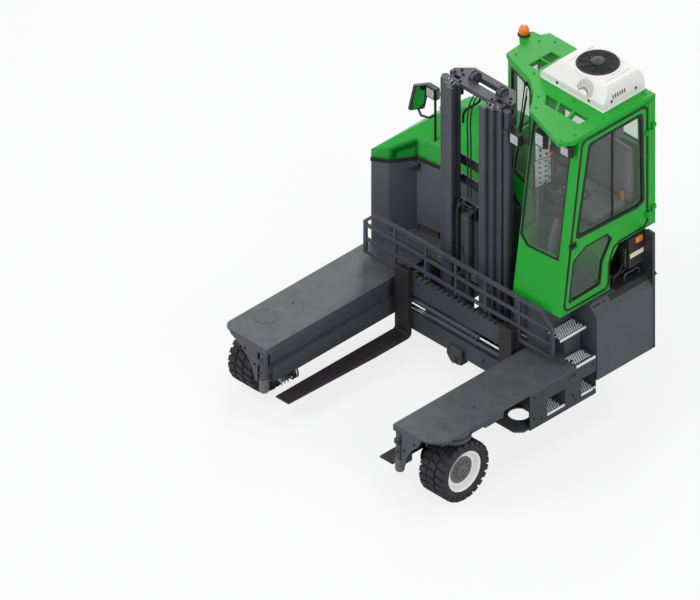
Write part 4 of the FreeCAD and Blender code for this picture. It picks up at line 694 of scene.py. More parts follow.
# ---- mirror and pole lamp ----
# Wide-angle mirror in a black plastic shell on a bent steel arm, and a small work lamp on the same
# pole. Both stand on the lid and swing up with it.
# Polyester powder over steel tube: black, satin, with a fine even orange peel.
powder = surface("satin_black_powder_coat", ("191a1c", "232426"), (70,), (20,), (0.38, 0.5), (2.5, 2.0), 0.06)
dress(["mirror", "door_handle", "work_lamps"], powder)
softened("mirror_arm_and_shells", "mirror", "hood", powder, 0.0035)
mirror_middle = Vector((-0.780, 0.568, 1.742))
axis_x = Vector((0.956, -0.289, -0.042)).normalized()
leaning_up = Vector((0.098, 0.18, 0.979))
axis_z = (leaning_up - axis_x * leaning_up.dot(axis_x)).normalized()
axis_y = axis_z.cross(axis_x)
mirror_turn = Matrix((axis_x, axis_y, axis_z)).transposed()
shell = bmesh.new()
for sign in (-1, 1):
    middle = mirror_middle + axis_x * sign * 0.0115
    rounded_block(shell, *around(middle, (0.0025, 0.0585, 0.0985)), 0.0024, 3, mirror_turn)
place_piece("mirror_shell_rims", shell, "hood", black_plastic)
face = bmesh.new()
middle = mirror_middle + axis_x * 0.0140
rounded_block(face, *around(middle, (0.0008, 0.051, 0.091)), 0.0006, 2, mirror_turn)
# Back-silvered glass: near-perfect metal reflection, dulled faintly in patches.
silvered = surface("silvered_mirror_glass", ("b8c0bf", "d2d8d6"), (60,), (15,), (0.02, 0.06), Metallic=1.0)
place_piece("mirror_glass", face, "hood", silvered)


def lamp_face(name, middle, facing, half_width, half_height, body):
    """A black bezel round a bright plate with rows of small raised optics, on the front of a lamp case."""
    middle, facing = Vector(middle), Vector(facing).normalized()
    turn = facing.to_track_quat("-Y", "Z").to_matrix()
    bezel = bmesh.new()
    size = Vector((half_width, 0.004, half_height))
    block(bezel, middle - size, middle + size, turn)
    front = max(bezel.faces, key=lambda f: f.normal.dot(facing))
    bmesh.ops.inset_region(bezel, faces=[front], thickness=0.006)
    bmesh.ops.translate(bezel, verts=front.verts, vec=-facing * 0.003)
    place_piece(f"{name}_bezel", bezel, body, black_plastic, bevel=0.001)
    bowl = bmesh.new()
    size = Vector((half_width - 0.007, 0.0012, half_height - 0.007))
    block(bowl, middle - size + facing * 0.0014, middle + size + facing * 0.0014, turn)
    for column in range(-2, 3):
        for row in range(-1, 2):
            spot = middle + facing * 0.0022 + turn @ Vector(
                (column * half_width * 0.34, 0, row * half_height * 0.55))
            lathe(bowl, spot, facing, [(0, 0.001), (half_width * 0.13, 0.0018), (half_width * 0.155, 0.0035),
                (half_width * 0.165, 0)], 16)
    tidy_normals(bowl)
    place_piece(f"{name}_reflector", bowl, body, reflector, smooth=30)


# Aluminised lamp reflector under a clear coat, seen as a pale bright surface.
reflector = surface("vacuum_metallised_reflector", ("a9abab", "d6d7d6"), (10,), (8,), (0.12, 0.3),
    Metallic=0.75, Coat_Weight=0.5)
lamp_face("pole_lamp", (-0.680, 0.5745, 1.815), (0, -1, 0), 0.040, 0.040, "hood")
lamp_face("pole_lamp_side", (-0.6315, 0.598, 1.815), (1, 0, 0), 0.016, 0.040, "hood")


# ---- mast ----
# Three nested pairs of rolled-steel rails in dark grey paint, tied by welded plates behind, with a
# crosshead over the inner pair. Greased rollers show between the rails at their tops.
dress(["mast_outer", "mast_middle", "mast_inner", "lift_cylinders", "free_lift_cylinder", "lift_carriage",
    "load_guard", "reach_frame"], mast_paint)
softened("outer_mast_rails", "mast_outer", "reach", mast_paint, 0.005, segments=3)
softened("middle_mast_rails", "mast_middle", "middle_mast", mast_paint, 0.005, segments=3)
softened("inner_mast_rails", "mast_inner", "inner_mast", mast_paint, 0.005, segments=3)
softened("reach_carriage_plates", "reach_frame", "reach", grey_paint, 0.003)
outer_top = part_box("mast_outer")[1].z
head_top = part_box("mast_inner")[1].z
# Hardened rollers and pulleys, turned bright, with a film of grease that dulls them in streaks.
bright_steel = surface("ground_roller_steel", ("77787a", "a2a3a5"), (18, 4.0), (7,), (0.28, 0.46),
    Metallic=0.9)


def roller(mesh, centre, axis, radius, width, steps=32):
    """A roller with small chamfers and a shallow dish in both faces."""
    half = width / 2
    lathe(mesh, centre, axis, [(0, -half), (radius * 0.35, -half), (radius * 0.38, -half + 0.002),
        (radius * 0.85, -half + 0.002), (radius * 0.9, -half), (radius - 0.001, -half),
        (radius, -half + 0.002), (radius, half - 0.002), (radius - 0.001, half), (radius * 0.9, half),
        (radius * 0.85, half - 0.002), (radius * 0.38, half - 0.002), (radius * 0.35, half), (0, half)],
        steps)


top_rollers = bmesh.new()
outer_rollers = bmesh.new()
for sign in (-1, 1):
    roller(top_rollers, (sign * 0.1985, 0.294, outer_top - 0.017), (1, 0, 0), 0.0235, 0.014)
    roller(top_rollers, (sign * 0.1985, 0.294, outer_top - 0.120), (1, 0, 0), 0.0235, 0.014)
    roller(outer_rollers, (sign * 0.2335, 0.3065, outer_top - 0.008), (1, 0, 0), 0.0120, 0.014)
tidy_normals(top_rollers)
tidy_normals(outer_rollers)
place_piece("middle_mast_top_rollers", top_rollers, "middle_mast", bright_steel)
place_piece("outer_mast_top_rollers", outer_rollers, "reach", bright_steel)

# Grooved hose pulleys stand in the crosshead's slot, on pins through short cheeks.
slot_ends = (-0.105, 0.152)
slot_middle = 0.4245
pulleys = bmesh.new()
pins = bmesh.new()
for x in slot_ends:
    centre = Vector((x, slot_middle, head_top + 0.004))
    lathe(pulleys, centre, (1, 0, 0), [(0.012, -0.020), (0.030, -0.020), (0.030, -0.016), (0.045, -0.020),
        (0.047, -0.019), (0.036, -0.012), (0.034, 0.0), (0.036, 0.012), (0.047, 0.019), (0.045, 0.020),
        (0.030, 0.016), (0.030, 0.020), (0.012, 0.020)], 36, True)
    rod(pins, centre - Vector((0.026, 0, 0)), centre + Vector((0.026, 0, 0)), 0.012, 20)
tidy_normals(pulleys)
place_piece("crosshead_pulleys", pulleys, "inner_mast", mast_paint)
cheek_x = [(slot_ends[0] - 0.028, slot_ends[0] - 0.022), (slot_ends[1] + 0.0235, slot_ends[1] + 0.029)]
for x0, x1 in cheek_x:
    rounded_block(pins, (x0, slot_middle - 0.030, head_top - 0.030),
        (x1, slot_middle + 0.030, head_top + 0.018), 0.002, 2)
place_piece("crosshead_pulley_pins", pins, "inner_mast", bright_steel, bevel=0.001)
head_bolts = bmesh.new()
for x, y in ((-0.255, 0.385), (-0.235, 0.430), (-0.190, 0.400), (0.235, 0.425), (0.262, 0.388),
        (-0.150, 0.330), (0.150, 0.330)):
    bolt(head_bolts, (x, y, head_top), (0, 0, 1), 0.008)
place_piece("crosshead_bolts", head_bolts, "inner_mast", black_steel, bevel=0.0006)

# Hoses: black rubber, running down from the crosshead to the free-lift cylinder.
material, tree, coords = start_material("black_hydraulic_hose_rubber")
# Cloth-finished synthetic rubber: black, matt, with a fine wrapped texture, drawn 4.5 mm wide so that
# it shows.
wrap = add(tree, "ShaderNodeTexWave", {"Vector": coords, "Scale": 70.0, "Distortion": 1.0},
    bands_direction="Z")
close_material(tree, blend_colours(tree, spread(tree, noise(tree, coords, 40), 0, 1), linear("141415"),
    linear("1f1f20")), spread(tree, noise(tree, coords, 12), 0.5, 0.65), wrap.outputs["Fac"], 0.15)
hose_rubber = material
free_low, free_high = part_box("free_lift_cylinder")
for number, (x, y) in enumerate(((-0.012, 0.262), (0.010, 0.270))):
    hose(f"mast_hose_{number}", [(x, 0.330, head_top - 0.038), (x, y + 0.030, head_top - 0.075),
        (x, y, head_top - 0.180), (x, y, 1.9), (x, y, free_high.z + 0.02)], 0.0055, "inner_mast", hose_rubber)
hose("mast_cross_hose", [(-0.200, 0.404, 1.900), (-0.195, 0.412, 1.982), (-0.140, 0.425, 2.050),
    (-0.063, 0.425, 2.136), (-0.040, 0.425, 2.262)], 0.0085, "inner_mast", hose_rubber)

# Lift cylinder barrels with a turned gland ring, a clamp band and its oil pipe; painted like the mast.
softened("lift_cylinder_barrels", "lift_cylinders", "reach", mast_paint, 0.002, sharp=40)
barrel_low, barrel_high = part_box("lift_cylinders")
cylinder_x = barrel_high.x - 0.034
cylinder_y = (barrel_low.y + barrel_high.y) / 2
bands = bmesh.new()
for sign in (-1, 1):
    centre = Vector((sign * cylinder_x, cylinder_y, 0))
    for z, radius, tall in ((barrel_high.z - 0.013, 0.0365, 0.013), (1.997, 0.0355, 0.006),
            (1.120, 0.0355, 0.006), (barrel_low.z + 0.02, 0.0355, 0.02)):
        lathe(bands, centre + Vector((0, 0, z)), (0, 0, 1), [(0.034, -tall), (radius - 0.001, -tall),
            (radius, -tall + 0.001), (radius, tall - 0.001), (radius - 0.001, tall), (0.034, tall)], 40, True)
    for z in (1.997, 1.120):
        ear = centre + Vector((sign * 0.038, -0.010, z))
        rounded_block(bands, ear - Vector((0.006, 0.004, 0.006)),
            ear + Vector((0.006, 0.004, 0.006)), 0.001, 2)
tidy_normals(bands)
place_piece("lift_cylinder_bands", bands, "reach", mast_paint, smooth=30)
for side, sign in (("left", -1), ("right", 1)):
    x = sign * (cylinder_x + 0.010)
    y = cylinder_y + 0.046
    hose(f"{side}_lift_pipe", [(sign * cylinder_x, cylinder_y + 0.030, barrel_low.z + 0.03),
        (x, y, barrel_low.z + 0.05), (x, y, 0.9), (x, y, 1.5), (x, y, 1.96), (x, cylinder_y + 0.03, 2.01)],
        0.0065, "reach", mast_paint)
# Ground and hard-chromed bar: mirror-like, with very fine grinding lines round it.
chrome = surface("hard_chromed_piston_rod", ("c4c6c9", "dddfe1"), (30,), (2,), (0.06, 0.14), Metallic=1.0)
dress(["lift_rods", "positioner_rods"], chrome)

# Free-lift cylinder: painted barrel with a painted yoke and two blackened chain pulleys, and leaf
# chains that drop from them.
barrel = bmesh.new()
line_y = free_low.y + 0.043
lathe(barrel, (0, line_y, free_low.z), (0, 0, 1), [(0, 0), (0.040, 0), (0.040, 0.030), (0.036, 0.034),
    (0.036, 1.000), (0.040, 1.004), (0.040, 1.046), (0.037, 1.050), (0, 1.050)], 36)
rounded_block(barrel, (-0.025, line_y, free_low.z), (0.025, 0.314, free_low.z + 0.070), 0.003)
tidy_normals(barrel)
free_piece = place_piece("free_lift_barrel", barrel, "inner_mast", mast_paint)
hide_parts("free_lift_cylinder")
yoke = bmesh.new()
pulley_z = free_low.z + 1.090
for x in (-0.080, -0.046, 0.042, 0.076):
    rounded_block(yoke, (x, line_y - 0.026, pulley_z - 0.045),
        (x + 0.004, line_y + 0.020, pulley_z + 0.052), 0.0015, 2)
rounded_block(yoke, (-0.080, line_y - 0.022, free_low.z + 1.045),
    (0.080, line_y + 0.018, free_low.z + 1.062), 0.002, 2)
for y in (line_y - 0.026, line_y + 0.014):
    rounded_block(yoke, (-0.046, y, pulley_z + 0.046), (0.046, y + 0.006, pulley_z + 0.052), 0.0015, 2)
place_piece("free_lift_yoke", yoke, "inner_mast", mast_paint)
chain_pulleys = bmesh.new()
for x in (-0.061, 0.061):
    roller(chain_pulleys, (x, line_y - 0.003, pulley_z), (1, 0, 0), 0.047, 0.024, 40)
rod(chain_pulleys, (-0.088, line_y - 0.003, pulley_z), (0.088, line_y - 0.003, pulley_z), 0.010, 20)
tidy_normals(chain_pulleys)
place_piece("free_lift_chain_pulleys", chain_pulleys, "inner_mast", black_steel)
chain_end, link_pitch = 0.62, 0.026
chains = bmesh.new()
for x in (-0.061, 0.061):
    for side_y in (line_y - 0.053, line_y + 0.047):
        top = pulley_z if side_y < line_y else pulley_z - 0.02
        links = int((top - chain_end) / link_pitch)
        for step in range(links):
            z = top - link_pitch / 2 - step * link_pitch
            wide = 0.010 if step % 2 else 0.0075
            block(chains, (x - wide, side_y - 0.0035, z - 0.0145), (x + wide, side_y + 0.0035, z + 0.0145))
# Riveted leaf chain: dark oiled steel, worn brighter in small patches.
chain_steel = surface("oiled_leaf_chain_steel", ("2b2a2a", "55534f"), (6,), (4,), (0.3, 0.5), Metallic=0.8)
place_piece("free_lift_chains", chains, "inner_mast", chain_steel, bevel=0.0006)


# ---- lift carriage and load guard ----
# Two flame-cut fork bars welded to roller plates, the upper one notched for the forks, with the
# positioner's cylinders between them and a bolted lug under the lower bar.
softened("fork_bars_and_plates", "lift_carriage", "carriage", mast_paint, 0.003)
bars_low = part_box("lift_carriage")[0]
positioner = bmesh.new()
for z, x0, x1 in ((0.385, -0.330, 0.540), (0.440, -0.540, 0.190)):
    y = 0.175
    lathe(positioner, (x0, y, z), (1, 0, 0), [(0.0125, 0), (0.021, 0), (0.023, 0.002), (0.023, 0.030),
        (0.019, 0.034), (0.019, x1 - x0 - 0.034), (0.023, x1 - x0 - 0.030), (0.023, x1 - x0),
        (0.0125, x1 - x0)], 28, True)
    for x in (x0 + 0.07, (x0 + x1) / 2 + 0.05, x1 - 0.07):
        rounded_block(positioner, (x - 0.011, y - 0.012, z - 0.026),
            (x + 0.011, y + 0.017, z + 0.026), 0.002, 2)
tidy_normals(positioner)
place_piece("fork_positioner_cylinders", positioner, "carriage", mast_paint, smooth=30)
hose("positioner_hose_0", [(-0.30, 0.167, 0.404), (-0.24, 0.168, 0.425), (-0.16, 0.169, 0.420),
    (-0.05, 0.180, 0.412), (0.06, 0.195, 0.412)], 0.007, "carriage", hose_rubber)
hose("positioner_hose_1", [(0.17, 0.167, 0.459), (0.10, 0.168, 0.475), (0.02, 0.169, 0.478),
    (-0.06, 0.180, 0.470), (-0.12, 0.195, 0.450)], 0.007, "carriage", hose_rubber)
lug = bmesh.new()
lug_low = bars_low.z
lug_plate = [(-0.082, 0.125), (0.060, 0.125), (0.060, 0.050), (0.030, 0.004), (-0.045, 0.004),
    (-0.082, 0.050)]
bottom = [lug.verts.new((x, 0.1432, lug_low + z)) for x, z in lug_plate]
plate_face = lug.faces.new(bottom)
grown = bmesh.ops.extrude_face_region(lug, geom=[plate_face])
bmesh.ops.translate(lug, verts=[v for v in grown["geom"] if isinstance(v, bmesh.types.BMVert)],
    vec=(0, -0.012, 0))
tidy_normals(lug)
rod(lug, (-0.004, 0.130, lug_low + 0.034), (-0.004, 0.110, lug_low + 0.034), 0.020, 24, 0.017)
place_piece("carriage_lug_plate", lug, "carriage", mast_paint, bevel=0.002)
lug_bolts = bmesh.new()
for x in (-0.066, 0.044):
    for z in (0.066, 0.108):
        bolt(lug_bolts, (x, 0.131, lug_low + z), (0, -1, 0), 0.008)
for x in (-0.455, -0.235, 0.235, 0.455):
    bolt(lug_bolts, (x, bars_low.y + 0.014, 0.280), (0, -1, 0), 0.010)
place_piece("carriage_bolts", lug_bolts, "carriage", mast_paint, bevel=0.0006)
softened("load_guard_bars", "load_guard", "carriage", mast_paint, 0.0025)
guard_low, guard_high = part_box("load_guard")
clips = bmesh.new()
for x in (-0.161, 0.161):
    rounded_block(clips, (x - 0.030, guard_low.y - 0.007, guard_high.z - 0.085),
        (x + 0.030, guard_low.y + 0.001, guard_high.z - 0.003), 0.0025)
    lathe(clips, (x, guard_low.y - 0.007, guard_high.z - 0.046), (0, -1, 0),
        [(0.007, 0), (0.019, 0), (0.019, 0.009), (0.016, 0.012), (0.009, 0.012), (0.007, 0.010)], 24, True)
tidy_normals(clips)
place_piece("load_guard_clips", clips, "carriage", mast_paint, smooth=30)


# ---- forks ----
# Forged alloy-steel forks, left with a dark brownish-black finish that wears to bare steel in fine
# streaks along the blades.
material, tree, coords = start_material("forged_fork_steel_in_black_lacquer")
stretched = add(tree, "ShaderNodeMapping", {"Vector": coords, "Scale": (1.0, 0.12, 1.0)}).outputs["Vector"]
wear = add(tree, "ShaderNodeMapRange", {"Value": noise(tree, stretched, 14, 5.0, 0.65), "From Min": 0.62,
    "From Max": 0.78, "To Min": 0.0, "To Max": 0.35}).outputs["Result"]
tint = blend_colours(tree, spread(tree, noise(tree, coords, 200), 0, 1), linear("2b2729"), linear("343032"))
close_material(tree, blend_colours(tree, wear, tint, linear("6a6460")),
    spread(tree, noise(tree, coords, 30), 0.42, 0.6), noise(tree, coords, 9, 4.0), 0.12, Metallic=0.25)
fork_black = material
dress(["left_fork", "right_fork"], fork_black)
for side in ("left", "right"):
    softened(f"{side}_fork_blade_and_shank", f"{side}_fork", f"{side}_fork_body", fork_black,
        0.004, segments=3)
    low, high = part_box(f"{side}_fork")
    hook_lever = bmesh.new()
    middle = (low.x + high.x) / 2
    rounded_block(hook_lever, (middle - 0.016, high.y - 0.040, high.z - 0.0005),
        (middle + 0.016, high.y - 0.022, high.z + 0.020), 0.004)
    rod(hook_lever, (middle - 0.012, high.y - 0.031, high.z + 0.013),
        (middle + 0.045, high.y - 0.031, high.z + 0.013), 0.005, 12)
    place_piece(f"{side}_fork_locking_lever", hook_lever, f"{side}_fork_body", black_steel,
        bevel=0.001)


# ---- wheels ----
# Solid press-on tyres with block lugs on white-painted dished rims, turned by hydraulic wheel
# motors in forged knuckles. Grey hub plates sit in the dishes with ten wheel studs each.
# Carbon-black solid rubber: matt, grey with dust in the pores, moulded with a fine grain.
tyre_rubber = surface("black_solid_tyre_rubber", ("232124", "322f32"), (60, 5.0), (20,), (0.62, 0.8),
    (3, 3.0), 0.25)
rim_paint = painted("white_enamel_on_pressed_steel_rim", ("efeeec", "f6f5f3"), "a8a29a", 4, 0.32, 0.06, 0.2)
hub_grey = painted("grey_primer_on_cast_iron_hub", ("5c5a5e", "68666a"), "77726c", 4, 0.5, 0.15, 0.15)
dress(["left_knuckle", "right_knuckle", "rear_knuckle", "left_guide_roller", "right_guide_roller"],
    mast_paint)
lug_rows = 24


def lug(mesh, centre, section, angle, half_arc, skew):
    """One tread block: a section in (along, radius) swept over a short arc, its ends skewed."""
    rings = []
    for step in (-1, 0, 1):
        ring = []
        for along, radius in section:
            turn = angle + step * half_arc + skew * along
            ring.append(mesh.verts.new(
                centre + Vector((along, -math.sin(turn) * radius, math.cos(turn) * radius))))
        rings.append(ring)
    for first, second in zip(rings, rings[1:]):
        for here in range(len(section)):
            there = (here + 1) % len(section)
            mesh.faces.new((first[here], first[there], second[there], second[here]))
    mesh.faces.new(rings[0][::-1])
    mesh.faces.new(rings[-1])


def lugged_tyre(name, node, body, rim_radius):
    """A solid tyre: a carcass turned round its axle, with a centre row and two shoulder rows of lugs."""
    low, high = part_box(node)
    centre = (low + high) / 2
    radius, half = (high.z - low.z) / 2, (high.x - low.x) / 2
    deep = 0.013
    rise = radius - deep - rim_radius
    mesh = bmesh.new()
    side = [(rim_radius, half - 0.014), (rim_radius + 0.10 * rise, half - 0.006),
        (rim_radius + 0.30 * rise, half - 0.003), (rim_radius + 0.62 * rise, half - 0.004),
        (rim_radius + 0.88 * rise, half - 0.010), (radius - deep, half - 0.022), (radius - deep, 0.0)]
    profile = side + [(r, -along) for r, along in side[-2::-1]]
    lathe(mesh, centre, (1, 0, 0), profile, 72, True)
    tidy_normals(mesh)
    lugs = bmesh.new()
    pitch = math.tau / lug_rows
    for step in range(lug_rows):
        for sign in (-1, 1):
            shoulder = [(half * 0.38, radius - deep - 0.003), (half * 0.38, radius), (half - 0.012, radius),
                (half - 0.002, radius - 0.009), (half, radius - 0.038), (half - 0.010, radius - 0.042),
                (half - 0.040, radius - deep - 0.003)]
            section = [(sign * along, r) for along, r in shoulder]
            lug(lugs, centre, section, step * pitch + (pitch / 2 if sign > 0 else 0),
                pitch * 0.33, sign * 0.9)
        block_half = half * 0.27
        section = [(-block_half, radius - deep - 0.003), (-block_half, radius), (block_half, radius),
            (block_half, radius - deep - 0.003)]
        lug(lugs, centre, section, step * pitch + pitch * 0.25, pitch * 0.34, 1.6)
    tidy_normals(lugs)
    piece = place_piece(name, mesh, body, tyre_rubber, smooth=40)
    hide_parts(node)
    place_piece(f"{name}_lugs", lugs, body, tyre_rubber, smooth=30, bevel=0.002)


def dished_rim(name, node, body, sign):
    """A pressed rim turned round the axle: flanges, a deep dish, and a recessed hub plate with studs."""
    low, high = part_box(node)
    centre = (low + high) / 2
    rim_radius, half = (high.z - low.z) / 2, (high.x - low.x) / 2
    hub_radius = rim_radius * 0.66
    face = half - 0.026
    mesh = bmesh.new()
    profile = [(hub_radius - 0.020, sign * (face - 0.012)), (hub_radius + 0.002, sign * (face - 0.012)),
        (rim_radius - 0.034, sign * (face - 0.010)), (rim_radius - 0.024, sign * (half - 0.014)),
        (rim_radius - 0.016, sign * (half - 0.004)), (rim_radius - 0.002, sign * half),
        (rim_radius - 0.0005, sign * (half - 0.004)), (rim_radius - 0.0005, -sign * (half - 0.004)),
        (rim_radius - 0.004, -sign * half), (rim_radius - 0.013, -sign * (half - 0.004)),
        (rim_radius - 0.020, -sign * (half - 0.02)), (rim_radius - 0.040, sign * (face - 0.026)),
        (hub_radius + 0.002, sign * (face - 0.026)), (hub_radius - 0.020, sign * (face - 0.026))]
    lathe(mesh, centre, (1, 0, 0), profile, 72, True)
    tidy_normals(mesh)
    piece = place_piece(name, mesh, body, rim_paint, smooth=35)
    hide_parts(node)
    hub = bmesh.new()
    profile = [(0, -sign * 0.02), (hub_radius - 0.021, -sign * 0.02),
        (hub_radius - 0.019, sign * (face - 0.012)), (hub_radius - 0.003, sign * (face - 0.011)),
        (hub_radius - 0.003, sign * (face - 0.003)), (hub_radius - 0.008, sign * face),
        (hub_radius - 0.020, sign * (face - 0.001)), (hub_radius - 0.026, sign * (face - 0.005)),
        (0.048, sign * (face - 0.005)), (0.044, sign * (face + 0.006)), (0.038, sign * (face + 0.009)),
        (0.014, sign * (face + 0.009)), (0.012, sign * (face + 0.004)), (0, sign * (face + 0.004))]
    lathe(hub, centre, (1, 0, 0), profile, 56)
    tidy_normals(hub)
    place_piece(f"{name}_hub", hub, body, hub_grey, smooth=30)
    studs = bmesh.new()
    for step in range(10):
        angle = math.tau * step / 10
        reach = hub_radius - 0.036
        spot = centre + Vector((sign * (face - 0.005), math.cos(angle) * reach, math.sin(angle) * reach))
        bolt(studs, spot, (sign, 0, 0), 0.007)
    tidy_normals(studs)
    place_piece(f"{name}_studs", studs, body, hub_grey, bevel=0.0008)


for side, sign in (("left", -1), ("right", 1), ("rear", 1)):
    dished_rim(f"{side}_dished_rim", f"{side}_wheel_rim", f"{side}_roll", sign)
    rim_low, rim_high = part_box(f"{side}_wheel_rim")
    lugged_tyre(f"{side}_lugged_tyre", f"{side}_wheel_tyre", f"{side}_roll", (rim_high.z - rim_low.z) / 2)
    softened(f"{side}_knuckle_forging", f"{side}_knuckle", f"{side}_steer", mast_paint, 0.004)

# Wheel motors: a finned end cap, three hoses with zinc fittings above and three drain hoses below, and
# beside them the upright guide roller under the front of each arm.
axle_height = 0.2285
for side, sign in (("left", -1), ("right", 1)):
    motor_low, motor_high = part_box(f"{side}_knuckle")
    inner_x = motor_low.x if sign > 0 else motor_high.x
    axle = Vector((inner_x, wheel_line, axle_height))
    fins = bmesh.new()
    for step in range(4):
        x = sign * (0.006 + step * 0.012)
        lathe(fins, axle + Vector((x, 0, 0)), (1, 0, 0), [(0.070, -0.0025), (0.0865, -0.0020),
            (0.0865, 0.0020), (0.070, 0.0025)], 40, True)
    lathe(fins, axle, (-sign, 0, 0), [(0, 0), (0.052, 0), (0.052, 0.006), (0.030, 0.010), (0, 0.010)], 32)
    tidy_normals(fins)
    place_piece(f"{side}_motor_fins", fins, f"{side}_steer", black_steel, smooth=30)
    fittings = bmesh.new()
    for y in (-0.040, 0.0, 0.040):
        top = axle + Vector((sign * 0.025, y, 0.078))
        rod(fittings, top, top + Vector((-sign * 0.004, 0, 0.022)), 0.010, 6)
        rod(fittings, top + Vector((-sign * 0.004, 0, 0.022)), top + Vector((-sign * 0.020, -0.006, 0.040)),
            0.008, 16)
    tidy_normals(fittings)
    place_piece(f"{side}_motor_fittings", fittings, f"{side}_steer", zinc, bevel=0.0006)
    for number, y in enumerate((-0.040, 0.0, 0.040)):
        start = axle + Vector((sign * 0.005, y - 0.006, 0.118))
        hose(f"{side}_motor_hose_{number}", [start,
            start + Vector((-sign * 0.016, -0.030 + number * 0.01, 0.040)),
            start + Vector((sign * 0.004, -0.020 + y * 0.5, 0.080)),
            start + Vector((sign * 0.060, 0.020, 0.105))],
            0.0085, f"{side}_steer", hose_rubber)
    ports = bmesh.new()
    for step in range(3):
        y = -0.062 + step * 0.030
        end = axle + Vector((-sign * 0.004, y, -0.062))
        rod(ports, end + Vector((sign * 0.030, 0, 0.004)), end, 0.012, 6)
        rod(ports, end, end + Vector((-sign * 0.010, 0, -0.004)), 0.009, 18)
        rounded_block(ports, end + Vector((-0.004, -0.004, -0.036)),
            end + Vector((0.004, 0.004, -0.006)), 0.0015, 2)
    rounded_block(ports, axle + Vector((-0.014, -0.075, -0.060)) + Vector((sign * 0.012, 0, 0)),
        axle + Vector((0.010, 0.012, -0.040)) + Vector((sign * 0.012, 0, 0)), 0.004)
    tidy_normals(ports)
    place_piece(f"{side}_motor_port_block", ports, f"{side}_steer", zinc, bevel=0.0006)
    for step in range(3):
        y = 0.028 + step * 0.020
        hose(f"{side}_motor_drain_{step}", [axle + Vector((sign * 0.020, y, -0.055)),
            axle + Vector((-sign * 0.012, y + 0.004, -0.085)),
            axle + Vector((-sign * 0.016, y + 0.012, -0.050)),
            axle + Vector((sign * 0.020, y + 0.016, -0.020))],
            0.006, f"{side}_steer", hose_rubber)
    low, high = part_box(f"{side}_guide_roller")
    middle = (low + high) / 2
    guide = bmesh.new()
    lathe(guide, (middle.x, middle.y, low.z), (0, 0, 1), [(0, 0), (0.016, 0.001), (0.028, 0.009),
        (0.033, 0.022), (0.034, 0.034), (0.034, 0.112), (0.032, 0.116), (0.016, 0.117), (0.014, 0.119),
        (0.014, high.z - low.z), (0, high.z - low.z)], 36)
    tidy_normals(guide)
    piece = place_piece(f"{side}_guide_roller_turned", guide, f"{side}_guide", hub_grey, smooth=30)
    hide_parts(f"{side}_guide_roller")


# ---- cab shell ----
# Welded and folded steel sheet in green enamel, with every window cut out of it and trimmed by a
# black rubber seal. The roof plate is bolted on and glazed over the driver.
green_gloss = painted("green_two_pack_enamel_on_cab_steel", ("109e25", "15a32b"), "5f9a58", 6, 0.34, 0.05,
    0.08, Specular_IOR_Level=0.3)
dress(["cab_frame", "door_frame", "cab_roof"], green_gloss)
softened("cab_shell", "cab_frame", "chassis", green_gloss, 0.005, segments=3)
softened("cab_roof_plate", "cab_roof", "chassis", green_gloss, 0.006, segments=3)
softened("door_leaf", "door_frame", "door", green_gloss, 0.004, segments=2)
cab_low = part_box("cab_frame")[0]
roof_low, roof_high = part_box("cab_roof")
lean = 0.189 / (roof_low.z - cab_low.z)


def rounded_outline(points, radius, steps=5):
    """A closed outline with each corner drawn as an arc, or nearly sharp where radius is small."""
    ring = []
    for before, here, after in zip(points[-1:] + points[:-1], points, points[1:] + points[:1]):
        before, here, after = Vector(before), Vector(here), Vector(after)
        back, forth = (before - here).normalized(), (after - here).normalized()
        half_angle = back.angle(forth) / 2
        run = min(radius / math.tan(half_angle), (before - here).length * 0.45, (after - here).length * 0.45)
        middle = here + (back + forth).normalized() * (run / math.cos(half_angle))
        arm = run * math.tan(half_angle)
        spin_from = here + back * run - middle
        spin_to = here + forth * run - middle
        for step in range(steps + 1):
            share = step / steps
            arc = (spin_from.slerp(spin_to, share) if spin_from.angle(spin_to) > 0.01
                else spin_from.lerp(spin_to, share))
            ring.append(middle + arc.normalized() * arm)
    return ring


def shifted_outline(points, distance):
    """A closed outline moved sideways by a distance, outward when the points run anticlockwise."""
    moved = []
    for before, here, after in zip(points[-1:] + points[:-1], points, points[1:] + points[:1]):
        before, here, after = Vector(before), Vector(here), Vector(after)
        first, second = (here - before).normalized(), (after - here).normalized()
        normal = Vector((first.y, -first.x)) + Vector((second.y, -second.x))
        normal.normalize()
        share = max(0.35, normal.dot(Vector((first.y, -first.x))))
        moved.append(here + normal * (distance / share))
    return moved


def seal(name, outline, spot, back, front, outer, inner, corner, outer_corner, body):
    """A rubber frame round an opening: spot turns an outline point and a depth into a place."""
    turning = sum(a[0] * b[1] - b[0] * a[1] for a, b in zip(outline, outline[1:] + outline[:1]))
    ordered = [Vector(p) for p in (outline if turning > 0 else outline[::-1])]
    outside = rounded_outline(shifted_outline(ordered, outer), outer_corner)
    inside = rounded_outline(shifted_outline(ordered, -inner), corner)
    mesh = bmesh.new()
    loops = [[mesh.verts.new(spot(p, depth)) for p in ring] for ring, depth in ((outside, back),
        (outside, front), (inside, front), (inside, back))]
    for first, second in zip(loops, loops[1:] + loops[:1]):
        for here in range(len(first)):
            there = (here + 1) % len(first)
            mesh.faces.new((first[here], first[there], second[there], second[here]))
    bmesh.ops.remove_doubles(mesh, verts=mesh.verts, dist=1e-5)
    tidy_normals(mesh)
    return place_piece(name, mesh, body, rubber, smooth=40, bevel=0.0015)


def on_side(x):
    """Places an outline of along and height on the upright plane at x; depth is out of the cab."""
    return lambda point, depth: Vector((x + depth, point[0], point[1]))


def on_front(point, depth):
    """Places an outline of across and height on the leaning front; depth is out of the cab."""
    return Vector((point[0], 0.199 + (point[1] - cab_low.z) * lean - depth, point[1] + depth * lean))


